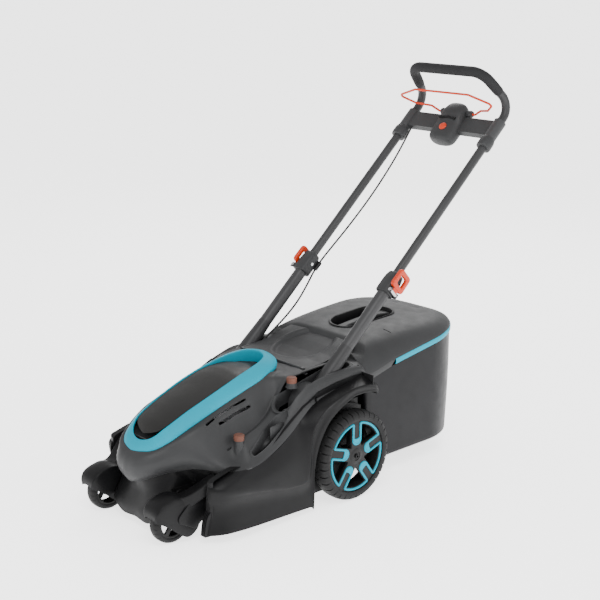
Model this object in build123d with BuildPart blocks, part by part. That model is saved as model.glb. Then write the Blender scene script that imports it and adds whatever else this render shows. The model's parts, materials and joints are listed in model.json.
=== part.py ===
from build123d import *
from math import cos, radians, sin, tan
import os

# Cordless walk-behind rotary mower, all lengths in millimetres.
# +Z up, the nose points to -Y, the operator's left is +X.
# The origin is on the ground at the middle of the bounding box.

os.makedirs("parts", exist_ok=True)

# ---- driving dimensions -------------------------------------------------
rear_wheel_radius = 112.5
rear_tyre_width = 46.0
rear_wheel_outer_x = 246.0
rear_axle_y = -58.0
rear_stub_radius = 7.0
front_wheel_radius = 51.0
front_tyre_width = 29.0
front_wheel_outer_x = 137.0
front_axle_y = -531.0
front_pin_radius = 4.0

rear_pivot_y = -140.0
rear_pivot_z = 129.5
rear_shaft_radius = 8.0
front_pivot_y = -446.0
front_pivot_z = 75.0
front_shaft_radius = 7.0

deck_half_width = 228.0
deck_bottom_z = 22.0
deck_plate_z = 100.0
deck_plate = 6.0
deck_rear_y = 12.0
bay_half_width = 180.0
arch_inner_x = 186.0
arch_radius = 121.0
arch_drop = 31.0
arch_shift = 14.0
chamber_radius = 192.0
nose_half_width = 86.0
pocket_inner_x = 90.0
pocket_outer_x = 176.0
tunnel_half_width = 112.0
tunnel_low_z = 50.0
tunnel_high_z = 235.0

blade_y = -240.0
blade_radius = 185.0
blade_z = 42.0
motor_radius = 58.0
motor_height = 92.0
motor_shaft_radius = 6.0

wall = 3.5
running_gap = 0.1

handle_x = 150.0
handle_angle = 42.0
pivot_y = -133.0
pivot_z = 240.0
foot_radius = 50.0
foot_width = 36.0
pivot_pin_radius = 8.0
lower_tube_radius = 16.0
upper_tube_radius = 11.5
tube_wall = 1.8
lower_tube_end = 342.0
fold_at = 372.0
collar_start = 330.0
collar_end = 404.0
bracket_start = 837.0
crossbar_at = 897.0

slot_half_width = 22.0
slot_front_y = -237.0
slot_rear_y = -2.0

bag_half_width = 192.0
bag_front_y = 20.0
bag_rear_y = 436.0
bag_corner = 115.0
bag_bottom_z = 50.0
bag_wall = 3.5
mouth_half_width = 125.0

flap_front_y = -120.0
flap_rear_y = 56.0
flap_half_width = 117.0
flap_hinge_y = -116.0
flap_hinge_z = 314.0
flap_rod_radius = 2.5
flap_barrel_radius = 4.0

SIDES = (("left", 1), ("right", -1))


def span_box(x0, x1, y0, y1, z0, z1, mode=Mode.ADD):
    """A block between two corners, in the part being built."""
    with Locations(((x0 + x1) / 2, (y0 + y1) / 2, (z0 + z1) / 2)):
        Box(abs(x1 - x0), y1 - y0, z1 - z0, mode=mode)


def rod_x(radius, x0, x1, y, z, mode=Mode.ADD):
    """A round bar along X."""
    with Locations(((x0 + x1) / 2, y, z)):
        Cylinder(radius, abs(x1 - x0), rotation=(0, 90, 0), mode=mode)


def rod_z(radius, x, y, z0, z1, mode=Mode.ADD):
    """A round bar along Z."""
    with Locations((x, y, (z0 + z1) / 2)):
        Cylinder(radius, z1 - z0, mode=mode)


def both_sides(half):
    """Close a half outline, given from -Y to +Y at positive X, over to negative X."""
    return half + [(-x, y) for x, y in reversed(half)]


def handle_point(x, along):
    """A point on the handle's straight axis, measured from the foot pivot."""
    a = radians(handle_angle)
    return (x, pivot_y + along * cos(a), pivot_z + along * sin(a))


def handle_plane(x, along):
    """Cross-section plane of the handle: local +Y looks down and back, +Z up the tube."""
    a = radians(handle_angle)
    return Plane(origin=handle_point(x, along), x_dir=(1, 0, 0), z_dir=(0, cos(a), sin(a)))


def ring_outline(front_y, rear_y, half_width):
    """Egg-shaped outline in plan, widest a little behind its middle."""
    length = rear_y - front_y
    shape = [(0.65, 0.074), (0.93, 0.253), (1.0, 0.515), (0.87, 0.814), (0.53, 0.962)]
    half = [(half_width * w, front_y + length * t) for w, t in shape]
    left = [(-x, y) for x, y in reversed(half)]
    with BuildSketch() as outline:
        with BuildLine():
            Spline((0, front_y), *half, (0, rear_y), *left, periodic=True)
        make_face()
    return outline.sketch_local


def ring_band(low, high):
    """Side strip that follows the ring's rise, from low to high above its edge line."""
    line = [(-560, 181), (-500, 213), (-400, 261), (-290, 298), (-190, 320), (-110, 331)]
    with BuildSketch(Plane.YZ) as strip:
        with BuildLine():
            Spline([(y, z + high) for y, z in line])
            Line((-110, 331 + high), (-110, 331 + low))
            Spline([(y, z + low) for y, z in reversed(line)])
            Line((-560, 181 + low), (-560, 181 + high))
        make_face()
    return strip.sketch_local


# ---- lower deck ---------------------------------------------------------
deck_side = [
    (-500, deck_bottom_z),
    (-522, 60),
    (-522, 104),
    (-462, 150),
    (-416, 162),
    (-371, 162),
    (-301, 180),
    (-221, 236),
    (-189, 257),
    (-135, 281),
    (-79, 291),
    (deck_rear_y, 299),
    (deck_rear_y, 60),
    (-40, deck_bottom_z),
]
deck_plan = [(pocket_inner_x, -522), (pocket_inner_x + 4, -478), (190, -470), (216, -455), (deck_half_width, -410),
             (deck_half_width, deck_rear_y)]

with BuildPart() as lower_deck:
    with BuildSketch(Plane.YZ):
        with BuildLine():
            Polyline(*deck_side, close=True)
        make_face()
    extrude(amount=deck_half_width, both=True)
    with BuildSketch():
        with BuildLine():
            Polyline(*both_sides(deck_plan), close=True)
        make_face()
    extrude(amount=400, mode=Mode.INTERSECT)
    rod_z(chamber_radius, 0, blade_y, 0, deck_plate_z, mode=Mode.SUBTRACT)
    span_box(-bay_half_width, bay_half_width, -508, -66, deck_plate_z + deck_plate, 330, mode=Mode.SUBTRACT)
    span_box(-tunnel_half_width, tunnel_half_width, -66, 30, tunnel_low_z, tunnel_high_z, mode=Mode.SUBTRACT)
    span_box(-tunnel_half_width - 6, tunnel_half_width + 6, -60, 6, tunnel_high_z + 6, 330,
             mode=Mode.SUBTRACT)
    span_box(-nose_half_width, nose_half_width, -502, -438, 0, deck_plate_z, mode=Mode.SUBTRACT)
    for name, side in SIDES:
        span_box(side * (tunnel_half_width + 6), side * bay_half_width, -60, 6, 106, 330,
                 mode=Mode.SUBTRACT)
        span_box(side * (tunnel_half_width + 6), side * bay_half_width, -60, 6, 0, 100,
                 mode=Mode.SUBTRACT)
        span_box(side * 198, side * 224, -440, -196, 0, 150, mode=Mode.SUBTRACT)
        span_box(side * 190, side * 224, -150, 8, 240, 330, mode=Mode.SUBTRACT)
        span_box(side * pocket_inner_x, side * pocket_outer_x, -560, -430, 0, 165, mode=Mode.SUBTRACT)
        span_box(side * (handle_x - slot_half_width), side * (handle_x + slot_half_width), -70, 0, 250, 330,
                 mode=Mode.SUBTRACT)
        rod_x(arch_radius, side * arch_inner_x, side * 240, rear_axle_y, rear_wheel_radius,
              mode=Mode.SUBTRACT)
        rod_x(arch_radius, side * arch_inner_x, side * 240, rear_axle_y - arch_shift,
              rear_wheel_radius - arch_drop, mode=Mode.SUBTRACT)
    rod_x(front_shaft_radius + running_gap, -186, 186, front_pivot_y, front_pivot_z, mode=Mode.SUBTRACT)
    rod_x(rear_shaft_radius + running_gap, -190, 190, rear_pivot_y, rear_pivot_z, mode=Mode.SUBTRACT)
    rod_z(motor_shaft_radius + 1.5, 0, blade_y, 90, 110, mode=Mode.SUBTRACT)
lower_deck.part.label = "lower_deck"
export_step(lower_deck.part, "parts/lower_deck.step")

# ---- hood ---------------------------------------------------------------
hood_side = [
    (-560, 122),
    (-560, 166),
    (-530, 192),
    (-470, 222),
    (-400, 256),
    (-330, 280),
    (-233, 306),
    (-176, 313),
    (6, 318),
    (6, 301),
    (-79, 294),
    (-135, 284),
    (-189, 260),
    (-221, 239),
    (-301, 183),
    (-371, 165),
    (-416, 165),
    (-462, 153),
    (-530, 113),
]
hood_plan = [(46, -560), (100, -532), (170, -475), (212, -410), (222, -330), (226, 6)]
# Each flank is cut flat by a plane through three points.
flank_front = [(66, -530, 196), (96, -330, 284), (214, -400, 170)]
flank_rear = [(98, -270, 298), (120, -79, 317), (222, -200, 257)]
# The hood is scooped out between its top and the deck's shoulder, ahead of the slots.
scoop = [(101, 330), (101, 272), (150, 204), (230, 170), (260, 170), (260, 330)]
scoop_front_y = -470
scoop_rear_y = -262
vent_slots = [(110, -350), (124, -330)]
latch_y = -175.0
latch_stem_x = 10.0
shelf_z = 288.0


def flank_plane(points, side, inset):
    """Plane through three flank points on one side, moved inwards by an inset."""
    a, b, c = (Vector(side * x, y, z) for x, y, z in points)
    normal = (b - a).cross(c - a).normalized()
    if normal.Z < 0:
        normal = normal * -1
    return Plane(origin=a - normal * inset, z_dir=normal)


def hood_solid(inset):
    """Outer form of the hood, or with an inset the hollow inside it."""
    plan = [(x - inset, y + inset) for x, y in hood_plan[:-1]]
    plan.append((hood_plan[-1][0] - inset, hood_plan[-1][1] + inset))
    with BuildPart() as solid:
        with BuildSketch(Plane.YZ):
            with BuildLine():
                Polyline(*[(y + inset, z - inset) for y, z in hood_side], close=True)
            make_face()
        extrude(amount=300, both=True)
        with BuildSketch():
            with BuildLine():
                Polyline(*both_sides(plan), close=True)
            make_face()
        extrude(amount=400, mode=Mode.INTERSECT)
        for name, side in SIDES:
            for points in (flank_front, flank_rear):
                split(bisect_by=flank_plane(points, side, inset), keep=Keep.BOTTOM)
            with BuildSketch(Plane.XZ.offset(-scoop_rear_y - inset)):
                with BuildLine():
                    Polyline(*[(side * (x - inset), z - inset) for x, z in scoop], close=True)
                make_face()
            extrude(amount=scoop_rear_y - scoop_front_y, mode=Mode.SUBTRACT)
    return solid.part


hood_outer = hood_solid(0)
hood_void = hood_solid(wall)
outer_outline = ring_outline(-546, -127, 95)
inner_outline = ring_outline(-526, -155, 67)

with BuildPart() as hood:
    add(hood_outer)
    add(hood_void, mode=Mode.SUBTRACT)
    with BuildSketch(Plane.XY.offset(100)):
        add(outer_outline)
    extrude(amount=300, mode=Mode.SUBTRACT)
    span_box(-flap_half_width - 1, flap_half_width + 1, flap_front_y - 1, 60, 250, 400,
             mode=Mode.SUBTRACT)
    for name, side in SIDES:
        span_box(side * (handle_x - slot_half_width), side * (handle_x + slot_half_width),
                 slot_front_y, slot_rear_y, 200, 400, mode=Mode.SUBTRACT)
        for slot_x, slot_y in vent_slots:
            span_box(side * (slot_x - 2), side * (slot_x + 2), slot_y - 55, slot_y + 55, 200, 300,
                     mode=Mode.SUBTRACT)
    # A shelf under the ring's tail carries the height latch.
    span_box(-40, 40, -192, -121.5, shelf_z - 4, shelf_z)
    span_box(-40, 40, -127, -121.5, shelf_z, 312)
    span_box(-latch_stem_x - 0.4, latch_stem_x + 0.4, latch_y - 5.4, latch_y + 5.4, shelf_z - 5, shelf_z + 1,
             mode=Mode.SUBTRACT)
hood.part.label = "hood"
export_step(hood.part, "parts/hood.step")

# Teal loop around the battery lid; its tail stands proud as the lifting grip.
lid_hinge_y = -508.0
lid_hinge_z = 204.0
lid_pin_radius = 1.6
lid_pin_half_length = 44.0
ring_low = -10.0
ring_high = 8.0
ring_strip = ring_band(ring_low, ring_high)

with BuildPart() as hood_ring:
    with BuildSketch(Plane.XY.offset(100)):
        add(outer_outline)
    extrude(amount=300)
    with BuildSketch(Plane.XY.offset(100)):
        add(inner_outline)
    extrude(amount=300, mode=Mode.SUBTRACT)
    with BuildSketch(Plane.YZ):
        add(ring_strip)
    extrude(amount=120, both=True, mode=Mode.INTERSECT)
    rod_x(lid_pin_radius, -lid_pin_half_length, lid_pin_half_length, lid_hinge_y, lid_hinge_z,
          mode=Mode.SUBTRACT)
hood_ring.part.label = "hood_ring"
export_step(hood_ring.part, "parts/hood_ring.step")

# ---- battery bay under the lid ------------------------------------------
battery_y = -400.0
battery_floor_z = 150.0

with BuildPart() as battery_tray:
    span_box(-92, 92, battery_y - 75, battery_y + 75, battery_floor_z - 4, battery_floor_z + 30)
    span_box(-88, 88, battery_y - 71, battery_y + 71, battery_floor_z, battery_floor_z + 40,
             mode=Mode.SUBTRACT)
    span_box(-2, 2, battery_y - 71, battery_y + 71, battery_floor_z, battery_floor_z + 30)
    for name, side in SIDES:
        for leg_y in (battery_y - 60, battery_y + 60):
            rod_z(7, side * 80, leg_y, deck_plate_z + deck_plate, battery_floor_z - 4)
battery_tray.part.label = "battery_tray"
export_step(battery_tray.part, "parts/battery_tray.step")

with BuildPart() as battery_packs:
    for name, side in SIDES:
        span_box(side * 6, side * 84, battery_y - 66, battery_y + 66, battery_floor_z,
                 battery_floor_z + 50)
        span_box(side * 18, side * 72, battery_y - 56, battery_y + 20, battery_floor_z + 50,
                 battery_floor_z + 56)
battery_packs.part.label = "battery_packs"
export_step(battery_packs.part, "parts/battery_packs.step")

with BuildPart() as control_board:
    span_box(70, 160, -330, -215, 130, 132)
    span_box(80, 110, -320, -290, 132, 146)
    span_box(118, 150, -280, -240, 132, 142)
    for board_x in (76, 154):
        for board_y in (-324, -221):
            rod_z(3, board_x, board_y, deck_plate_z + deck_plate, 130)
control_board.part.label = "control_board"
export_step(control_board.part, "parts/control_board.step")

# ---- motor, shaft and blade ---------------------------------------------
motor_base_z = deck_plate_z + deck_plate
motor_top_z = motor_base_z + motor_height
shaft_low_z = blade_z + 6

with BuildPart() as motor:
    rod_z(motor_radius, 0, blade_y, motor_base_z, motor_top_z)
    rod_z(motor_radius + 10, 0, blade_y, motor_base_z, motor_base_z + 5)
    rod_z(motor_shaft_radius + running_gap, 0, blade_y, motor_base_z - 1, motor_base_z + 61,
          mode=Mode.SUBTRACT)
    with Locations((0, blade_y, motor_top_z)):
        with PolarLocations(40, 8):
            Cylinder(6, 16, mode=Mode.SUBTRACT)
motor.part.label = "motor"
export_step(motor.part, "parts/motor.step")

with BuildPart() as motor_screws:
    with Locations((0, blade_y, motor_base_z + 7)):
        with PolarLocations(motor_radius + 5, 4, start_angle=45):
            Cylinder(3.5, 4)
motor_screws.part.label = "motor_screws"
export_step(motor_screws.part, "parts/motor_screws.step")

with BuildPart() as motor_shaft:
    rod_z(motor_shaft_radius, 0, blade_y, shaft_low_z, motor_base_z + 60)
motor_shaft.part.label = "motor_shaft"
export_step(motor_shaft.part, "parts/motor_shaft.step")

with BuildPart() as blade_carrier:
    rod_z(28, 0, blade_y, blade_z + 6, blade_z + 12)
    rod_z(13, 0, blade_y, blade_z + 12, deck_plate_z - 6)
    rod_z(motor_shaft_radius, 0, blade_y, blade_z, deck_plate_z, mode=Mode.SUBTRACT)
blade_carrier.part.label = "blade_carrier"
export_step(blade_carrier.part, "parts/blade_carrier.step")

with BuildPart() as blade:
    with BuildSketch(Plane.XY.offset(blade_z)):
        with Locations((0, blade_y)):
            Rectangle(2 * blade_radius - 20, 50)
            Circle(29)
            Circle(5, mode=Mode.SUBTRACT)
        with BuildLine():
            Polyline(
                (blade_radius - 62, blade_y - 25),
                (blade_radius, blade_y - 8),
                (blade_radius, blade_y + 25),
                (blade_radius - 12, blade_y + 25),
                close=True,
            )
        make_face()
    extrude(amount=5.7)
    for name, side in SIDES:
        span_box(side * 110, side * 172, blade_y + side * 17 - 8, blade_y + side * 17 + 8,
                 blade_z + 5.7, blade_z + 14)
blade.part.label = "blade"
export_step(blade.part, "parts/blade.step")

with BuildPart() as blade_bolt:
    rod_z(4.9, 0, blade_y, blade_z - 1, blade_z + 6)
    with BuildSketch(Plane.XY.offset(blade_z - 8)):
        with Locations((0, blade_y)):
            RegularPolygon(9, 6)
    extrude(amount=7)
    rod_z(14, 0, blade_y, blade_z - 2.5, blade_z - 0.1)
blade_bolt.part.label = "blade_bolt"
export_step(blade_bolt.part, "parts/blade_bolt.step")

# ---- rear axle and wheels -----------------------------------------------
rear_rim_radius = 91.0
rear_boss_radius = 20.0
spoke_count = 5

with BuildPart() as rear_axle:
    rod_x(rear_shaft_radius, -189, 189, rear_pivot_y, rear_pivot_z)
    for name, side in SIDES:
        with BuildSketch(Plane.YZ.offset(side * 192.5)):
            with Locations((rear_pivot_y, rear_pivot_z), (rear_axle_y, rear_wheel_radius)):
                Circle(13)
            make_hull()
        extrude(amount=3.5, both=True)
        rod_x(rear_stub_radius, side * 189, side * (rear_wheel_outer_x - 8), rear_axle_y,
              rear_wheel_radius)
rear_axle.part.label = "rear_axle"
export_step(rear_axle.part, "parts/rear_axle.step")


def wheel_plane(x, y, z):
    """Plane square to an axle: local X is +Y, local Y is +Z, normal +X."""
    return Plane(origin=(x, y, z), x_dir=(0, 1, 0), z_dir=(1, 0, 0))


for name, side in SIDES:
    face = wheel_plane(side * (rear_wheel_outer_x - rear_tyre_width / 2), rear_axle_y, rear_wheel_radius)

    with BuildPart() as rear_tyre:
        with BuildSketch(face):
            Circle(rear_wheel_radius)
            Circle(rear_rim_radius, mode=Mode.SUBTRACT)
        extrude(amount=rear_tyre_width / 2, both=True)
        chamfer(rear_tyre.edges().filter_by(GeomType.CIRCLE).sort_by(SortBy.RADIUS)[-2:], 5)
        for half_x in (-1, 1):
            with BuildSketch(face.offset(half_x * (rear_tyre_width / 2 - 7))):
                with PolarLocations(rear_wheel_radius - 1, 30, start_angle=3 + 3 * half_x):
                    Rectangle(5, 9)
            extrude(amount=8, both=True, mode=Mode.SUBTRACT)
    rear_tyre.part.label = f"rear_tyre_{name}"
    export_step(rear_tyre.part, f"parts/rear_tyre_{name}.step")

    with BuildPart() as rear_hub:
        with BuildSketch(face):
            Circle(rear_rim_radius)
            Circle(rear_rim_radius - 7, mode=Mode.SUBTRACT)
        extrude(amount=rear_tyre_width / 2 - 1, both=True)
        with BuildSketch(face.offset(side * 8)):
            Circle(rear_rim_radius - 3)
            with PolarLocations(56, spoke_count, start_angle=54):
                SlotCenterToCenter(26, 32, rotation=0, mode=Mode.SUBTRACT)
        extrude(amount=10, both=True)
        with BuildSketch(face):
            Circle(rear_boss_radius)
        extrude(amount=rear_tyre_width / 2 - 1, both=True)
        rod_x(rear_stub_radius + running_gap, 190, 260, rear_axle_y, rear_wheel_radius, mode=Mode.SUBTRACT)
        rod_x(rear_stub_radius + running_gap, -260, -190, rear_axle_y, rear_wheel_radius,
              mode=Mode.SUBTRACT)
    rear_hub.part.label = f"rear_hub_{name}"
    export_step(rear_hub.part, f"parts/rear_hub_{name}.step")

    with BuildPart() as wheel_trim:
        trim_face = face.offset(side * 18)
        with BuildSketch(trim_face):
            Circle(rear_rim_radius - 8)
            Circle(rear_rim_radius - 13, mode=Mode.SUBTRACT)
            with PolarLocations(36, spoke_count, start_angle=90):
                Circle(7)
            with PolarLocations(58, spoke_count, start_angle=90):
                Rectangle(44, 14)
        extrude(amount=side * 2.5)
    wheel_trim.part.label = f"wheel_trim_{name}"
    export_step(wheel_trim.part, f"parts/wheel_trim_{name}.step")

    with BuildPart() as hub_cap:
        with BuildSketch(wheel_plane(side * (rear_wheel_outer_x - 1), rear_axle_y, rear_wheel_radius)):
            Circle(12)
        extrude(amount=side * 3)
    hub_cap.part.label = f"hub_cap_{name}"
    export_step(hub_cap.part, f"parts/hub_cap_{name}.step")

# ---- front arms and wheels ----------------------------------------------
front_wheel_inner_x = front_wheel_outer_x - front_tyre_width
front_wheel_mid_x = (front_wheel_inner_x + front_wheel_outer_x) / 2
fender_radius = 61.0
fender_half_width = 25.0
fender_wall = 4.0
fender_tip_y = front_axle_y - 59
fender_tip_z = 104.0

with BuildPart() as front_shaft:
    rod_x(front_shaft_radius, -185, 185, front_pivot_y, front_pivot_z)
front_shaft.part.label = "front_shaft"
export_step(front_shaft.part, "parts/front_shaft.step")

for name, side in SIDES:
    arm_face = wheel_plane(side * front_wheel_mid_x, front_axle_y, front_wheel_radius)

    with BuildPart() as front_arm:
        for wall_step, half_width in ((0, fender_half_width + 3.5), (fender_wall, fender_half_width)):
            with BuildSketch(Plane.YZ.offset(side * front_wheel_mid_x)):
                with Locations((front_axle_y, front_wheel_radius)):
                    Circle(fender_radius - wall_step)
                with Locations((fender_tip_y, fender_tip_z - wall_step)):
                    Circle(2)
                make_hull()
            extrude(amount=half_width, both=True, mode=Mode.SUBTRACT if wall_step else Mode.ADD)
        with BuildSketch(Plane.YZ):
            with BuildLine():
                Polyline(
                    (front_axle_y - 75, 150),
                    (front_axle_y - 75, fender_tip_z - 4),
                    (fender_tip_y - 2, fender_tip_z - 4),
                    (front_axle_y + 10, 30),
                    (front_axle_y + 44, 18),
                    (front_axle_y + 75, 18),
                    (front_axle_y + 75, 150),
                    close=True,
                )
            make_face()
        extrude(amount=400, both=True, mode=Mode.INTERSECT)
        with BuildSketch(Plane.YZ.offset(side * (front_wheel_mid_x + fender_half_width))):
            with Locations((front_pivot_y, front_pivot_z)):
                Circle(12)
            with Locations((front_axle_y + 40, 80)):
                Circle(14)
            make_hull()
        extrude(amount=side * 10)
        with BuildSketch(Plane.YZ.offset(side * (front_wheel_outer_x + 0.5))):
            with Locations((front_axle_y, front_wheel_radius)):
                Circle(9)
            with Locations((front_axle_y + 30, 70)):
                Circle(12)
            make_hull()
        extrude(amount=side * (front_wheel_mid_x + fender_half_width - front_wheel_outer_x))
        rod_x(front_shaft_radius, side * 60, side * 190, front_pivot_y, front_pivot_z, mode=Mode.SUBTRACT)
        rod_x(front_pin_radius, side * 60, side * 190, front_axle_y, front_wheel_radius,
              mode=Mode.SUBTRACT)
    front_arm.part.label = f"front_arm_{name}"
    export_step(front_arm.part, f"parts/front_arm_{name}.step")

    with BuildPart() as front_tyre:
        with BuildSketch(arm_face):
            Circle(front_wheel_radius)
            Circle(front_wheel_radius - 12, mode=Mode.SUBTRACT)
        extrude(amount=front_tyre_width / 2, both=True)
        fillet(front_tyre.edges().filter_by(GeomType.CIRCLE).sort_by(SortBy.RADIUS)[-2:], 5)
    front_tyre.part.label = f"front_tyre_{name}"
    export_step(front_tyre.part, f"parts/front_tyre_{name}.step")

    with BuildPart() as front_hub:
        with BuildSketch(arm_face):
            Circle(front_wheel_radius - 12)
            with PolarLocations(24, 5):
                Circle(7.5, mode=Mode.SUBTRACT)
        extrude(amount=front_tyre_width / 2 - 3, both=True)
        with BuildSketch(arm_face):
            Circle(9)
        extrude(amount=front_tyre_width / 2, both=True)
        rod_x(front_pin_radius + running_gap, side * 60, side * 190, front_axle_y, front_wheel_radius,
              mode=Mode.SUBTRACT)
    front_hub.part.label = f"front_hub_{name}"
    export_step(front_hub.part, f"parts/front_hub_{name}.step")

with BuildPart() as front_pins:
    for name, side in SIDES:
        rod_x(front_pin_radius, side * (front_wheel_inner_x - 12), side * (front_wheel_outer_x + 8),
              front_axle_y, front_wheel_radius)
front_pins.part.label = "front_pins"
export_step(front_pins.part, "parts/front_pins.step")

# ---- handle brackets under the hood -------------------------------------
cheek_gap = foot_width / 2 + 2
cheek_thickness = 4.0
bracket_base_z = pivot_z - foot_radius - 12

for name, side in SIDES:
    with BuildPart() as handle_bracket:
        for cheek_x in (handle_x - cheek_gap - cheek_thickness, handle_x + cheek_gap):
            with BuildSketch(Plane.YZ.offset(side * cheek_x)):
                with Locations((pivot_y, pivot_z)):
                    Circle(26)
                with Locations((pivot_y, bracket_base_z + 3)):
                    Rectangle(80, 6)
                make_hull()
            extrude(amount=side * cheek_thickness)
        inner_x = side * (handle_x - cheek_gap - cheek_thickness)
        outer_x = side * (handle_x + cheek_gap + cheek_thickness)
        span_box(inner_x, outer_x, pivot_y - 40, pivot_y + 40, bracket_base_z, bracket_base_z + 6)
        for leg_y in (pivot_y - 32, pivot_y + 32):
            rod_z(10, side * handle_x, leg_y, deck_plate_z + deck_plate, bracket_base_z)
        rod_x(pivot_pin_radius, side * 100, side * 200, pivot_y, pivot_z, mode=Mode.SUBTRACT)
    handle_bracket.part.label = f"handle_bracket_{name}"
    export_step(handle_bracket.part, f"parts/handle_bracket_{name}.step")

with BuildPart() as handle_pivots:
    for name, side in SIDES:
        rod_x(pivot_pin_radius, side * (handle_x - cheek_gap - cheek_thickness - 2),
              side * (handle_x + cheek_gap + cheek_thickness + 2), pivot_y, pivot_z)
handle_pivots.part.label = "handle_pivots"
export_step(handle_pivots.part, "parts/handle_pivots.step")

# Two capped rest posts stand on the left of the hood, beside the handle slot.
post_places = [(160, -360, 209), (140, -179, 301)]
post_cap_height = 14.0

with BuildPart() as rest_posts:
    for post_x, post_y, post_z in post_places:
        rod_z(10, post_x, post_y, post_z - 30, post_z)
    add(hood_outer, mode=Mode.SUBTRACT)
rest_posts.part.label = "rest_posts"
export_step(rest_posts.part, "parts/rest_posts.step")

with BuildPart() as rest_caps:
    for post_x, post_y, post_z in post_places:
        rod_z(12.5, post_x, post_y, post_z, post_z + post_cap_height)
    chamfer(rest_caps.edges().filter_by(GeomType.CIRCLE).group_by(Axis.Z)[-1], 1.5)
rest_caps.part.label = "rest_caps"
export_step(rest_caps.part, "parts/rest_caps.step")

# ---- battery lid ---------------------------------------------------------
lid_outline = ring_outline(-512, -192, 64)
lid_strip = ring_band(-8, -2)

with BuildPart() as battery_lid:
    with BuildSketch(Plane.XY.offset(100)):
        add(lid_outline)
    extrude(amount=300)
    with BuildSketch(Plane.YZ):
        add(lid_strip)
    extrude(amount=120, both=True, mode=Mode.INTERSECT)
    rod_x(lid_pin_radius + running_gap, -60, 60, lid_hinge_y, lid_hinge_z, mode=Mode.SUBTRACT)
battery_lid.part.label = "battery_lid"
export_step(battery_lid.part, "parts/battery_lid.step")

with BuildPart() as height_latch:
    span_box(-26, 26, latch_y - 9, latch_y + 9, shelf_z + 8, shelf_z + 16)
    span_box(-latch_stem_x, latch_stem_x, latch_y - 5, latch_y + 5, shelf_z - 12, shelf_z + 8)
height_latch.part.label = "height_latch"
export_step(height_latch.part, "parts/height_latch.step")

# ---- rear flap over the bag mouth ----------------------------------------
flap_top = [(flap_hinge_y, 318), (-60, 322), (0, 334), (flap_rear_y, 346)]
flap_thickness = 4.0

with BuildPart() as rear_flap:
    with BuildSketch(Plane.YZ):
        with BuildLine():
            Polyline(*flap_top, *[(y, z - flap_thickness) for y, z in reversed(flap_top)], close=True)
        make_face()
    extrude(amount=flap_half_width, both=True)
    rod_x(flap_barrel_radius, -flap_half_width, flap_half_width, flap_hinge_y, flap_hinge_z)
    for name, side in SIDES:
        span_box(side * 105, side * 113, flap_hinge_y - 6, flap_hinge_y + 6, flap_hinge_z - 10,
                 flap_hinge_z + 10, mode=Mode.SUBTRACT)
    rod_x(flap_rod_radius + running_gap, -130, 130, flap_hinge_y, flap_hinge_z, mode=Mode.SUBTRACT)
rear_flap.part.label = "rear_flap"
export_step(rear_flap.part, "parts/rear_flap.step")

with BuildPart() as hinge_rods:
    rod_x(lid_pin_radius, -lid_pin_half_length, lid_pin_half_length, lid_hinge_y, lid_hinge_z)
    rod_x(flap_rod_radius, -117, 117, flap_hinge_y, flap_hinge_z)
    for name, side in SIDES:
        span_box(side * 106, side * 112, flap_hinge_y - 4, flap_hinge_y + 4, flap_hinge_z - 11,
                 flap_hinge_z + 3)
        span_box(side * 112, side * 124, flap_hinge_y - 4, flap_hinge_y + 4, flap_hinge_z - 11,
                 flap_hinge_z - 8)
hinge_rods.part.label = "hinge_rods"
export_step(hinge_rods.part, "parts/hinge_rods.step")

# ---- grass bag -------------------------------------------------------------
bag_top = [(bag_front_y, 322), (52, 331), (64, 350), (150, 360), (245, 366), (340, 367), (400, 361),
           (bag_rear_y, 350)]
bag_section = [(bag_half_width, 40), (bag_half_width, 296), (176, 330), (130, 362), (70, 400)]
trim_line = [(bag_front_y, 267), (119, 292), (330, 325), (bag_rear_y + 10, 334)]
trim_height = 14.0
trim_slope = (trim_line[1][1] - trim_line[0][1]) / (trim_line[1][0] - trim_line[0][0])


def bag_form(inset):
    """Outer form of the closed bag, or with an inset the space inside it."""
    with BuildPart() as form:
        with BuildSketch(Plane.XY.offset(bag_bottom_z + inset)):
            with BuildLine():
                x = bag_half_width - inset
                rear = bag_rear_y - inset
                corner = bag_corner - inset
                Polyline((-x, rear - corner), (-x, bag_front_y + inset), (x, bag_front_y + inset),
                         (x, rear - corner))
                RadiusArc((x, rear - corner), (x - corner, rear), -corner)
                Line((x - corner, rear), (corner - x, rear))
                RadiusArc((corner - x, rear), (-x, rear - corner), -corner)
            make_face()
        extrude(amount=400)
        with BuildSketch(Plane.YZ):
            with BuildLine():
                Polyline(
                    (bag_front_y - 10, 0),
                    (bag_front_y - 10, bag_top[0][1] - inset),
                    *[(y, z - inset) for y, z in bag_top],
                    (bag_rear_y + 10, bag_top[-1][1] - inset),
                    (bag_rear_y + 10, 0),
                    close=True,
                )
            make_face()
        extrude(amount=300, both=True, mode=Mode.INTERSECT)
        with BuildSketch(Plane.XZ.offset(-bag_rear_y - 10)):
            with BuildLine():
                Polyline(*both_sides([(x, z - inset) for x, z in bag_section]), close=True)
            make_face()
        extrude(amount=500, mode=Mode.INTERSECT)
    return form.part


def trim_region(low, high, front_y):
    """Side-view region between two heights above the bag's trim line."""
    points = [(y, z) for y, z in trim_line if y > front_y]
    start_z = trim_line[0][1] + (front_y - bag_front_y) * trim_slope
    points = [(front_y, start_z)] + points
    with BuildSketch(Plane.YZ) as region:
        with BuildLine():
            Polyline(*[(y, z + low) for y, z in points],
                     *[(y, z + high) for y, z in reversed(points)], close=True)
        make_face()
    return region.sketch_local


bag_outer = bag_form(0)
bag_void = bag_form(bag_wall)
shell_region = trim_region(-400, 0, bag_front_y - 12)
band_region = trim_region(0, trim_height, 119)
lid_region = trim_region(0, 300, bag_front_y - 12)
trim_depth = 1.5

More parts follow.
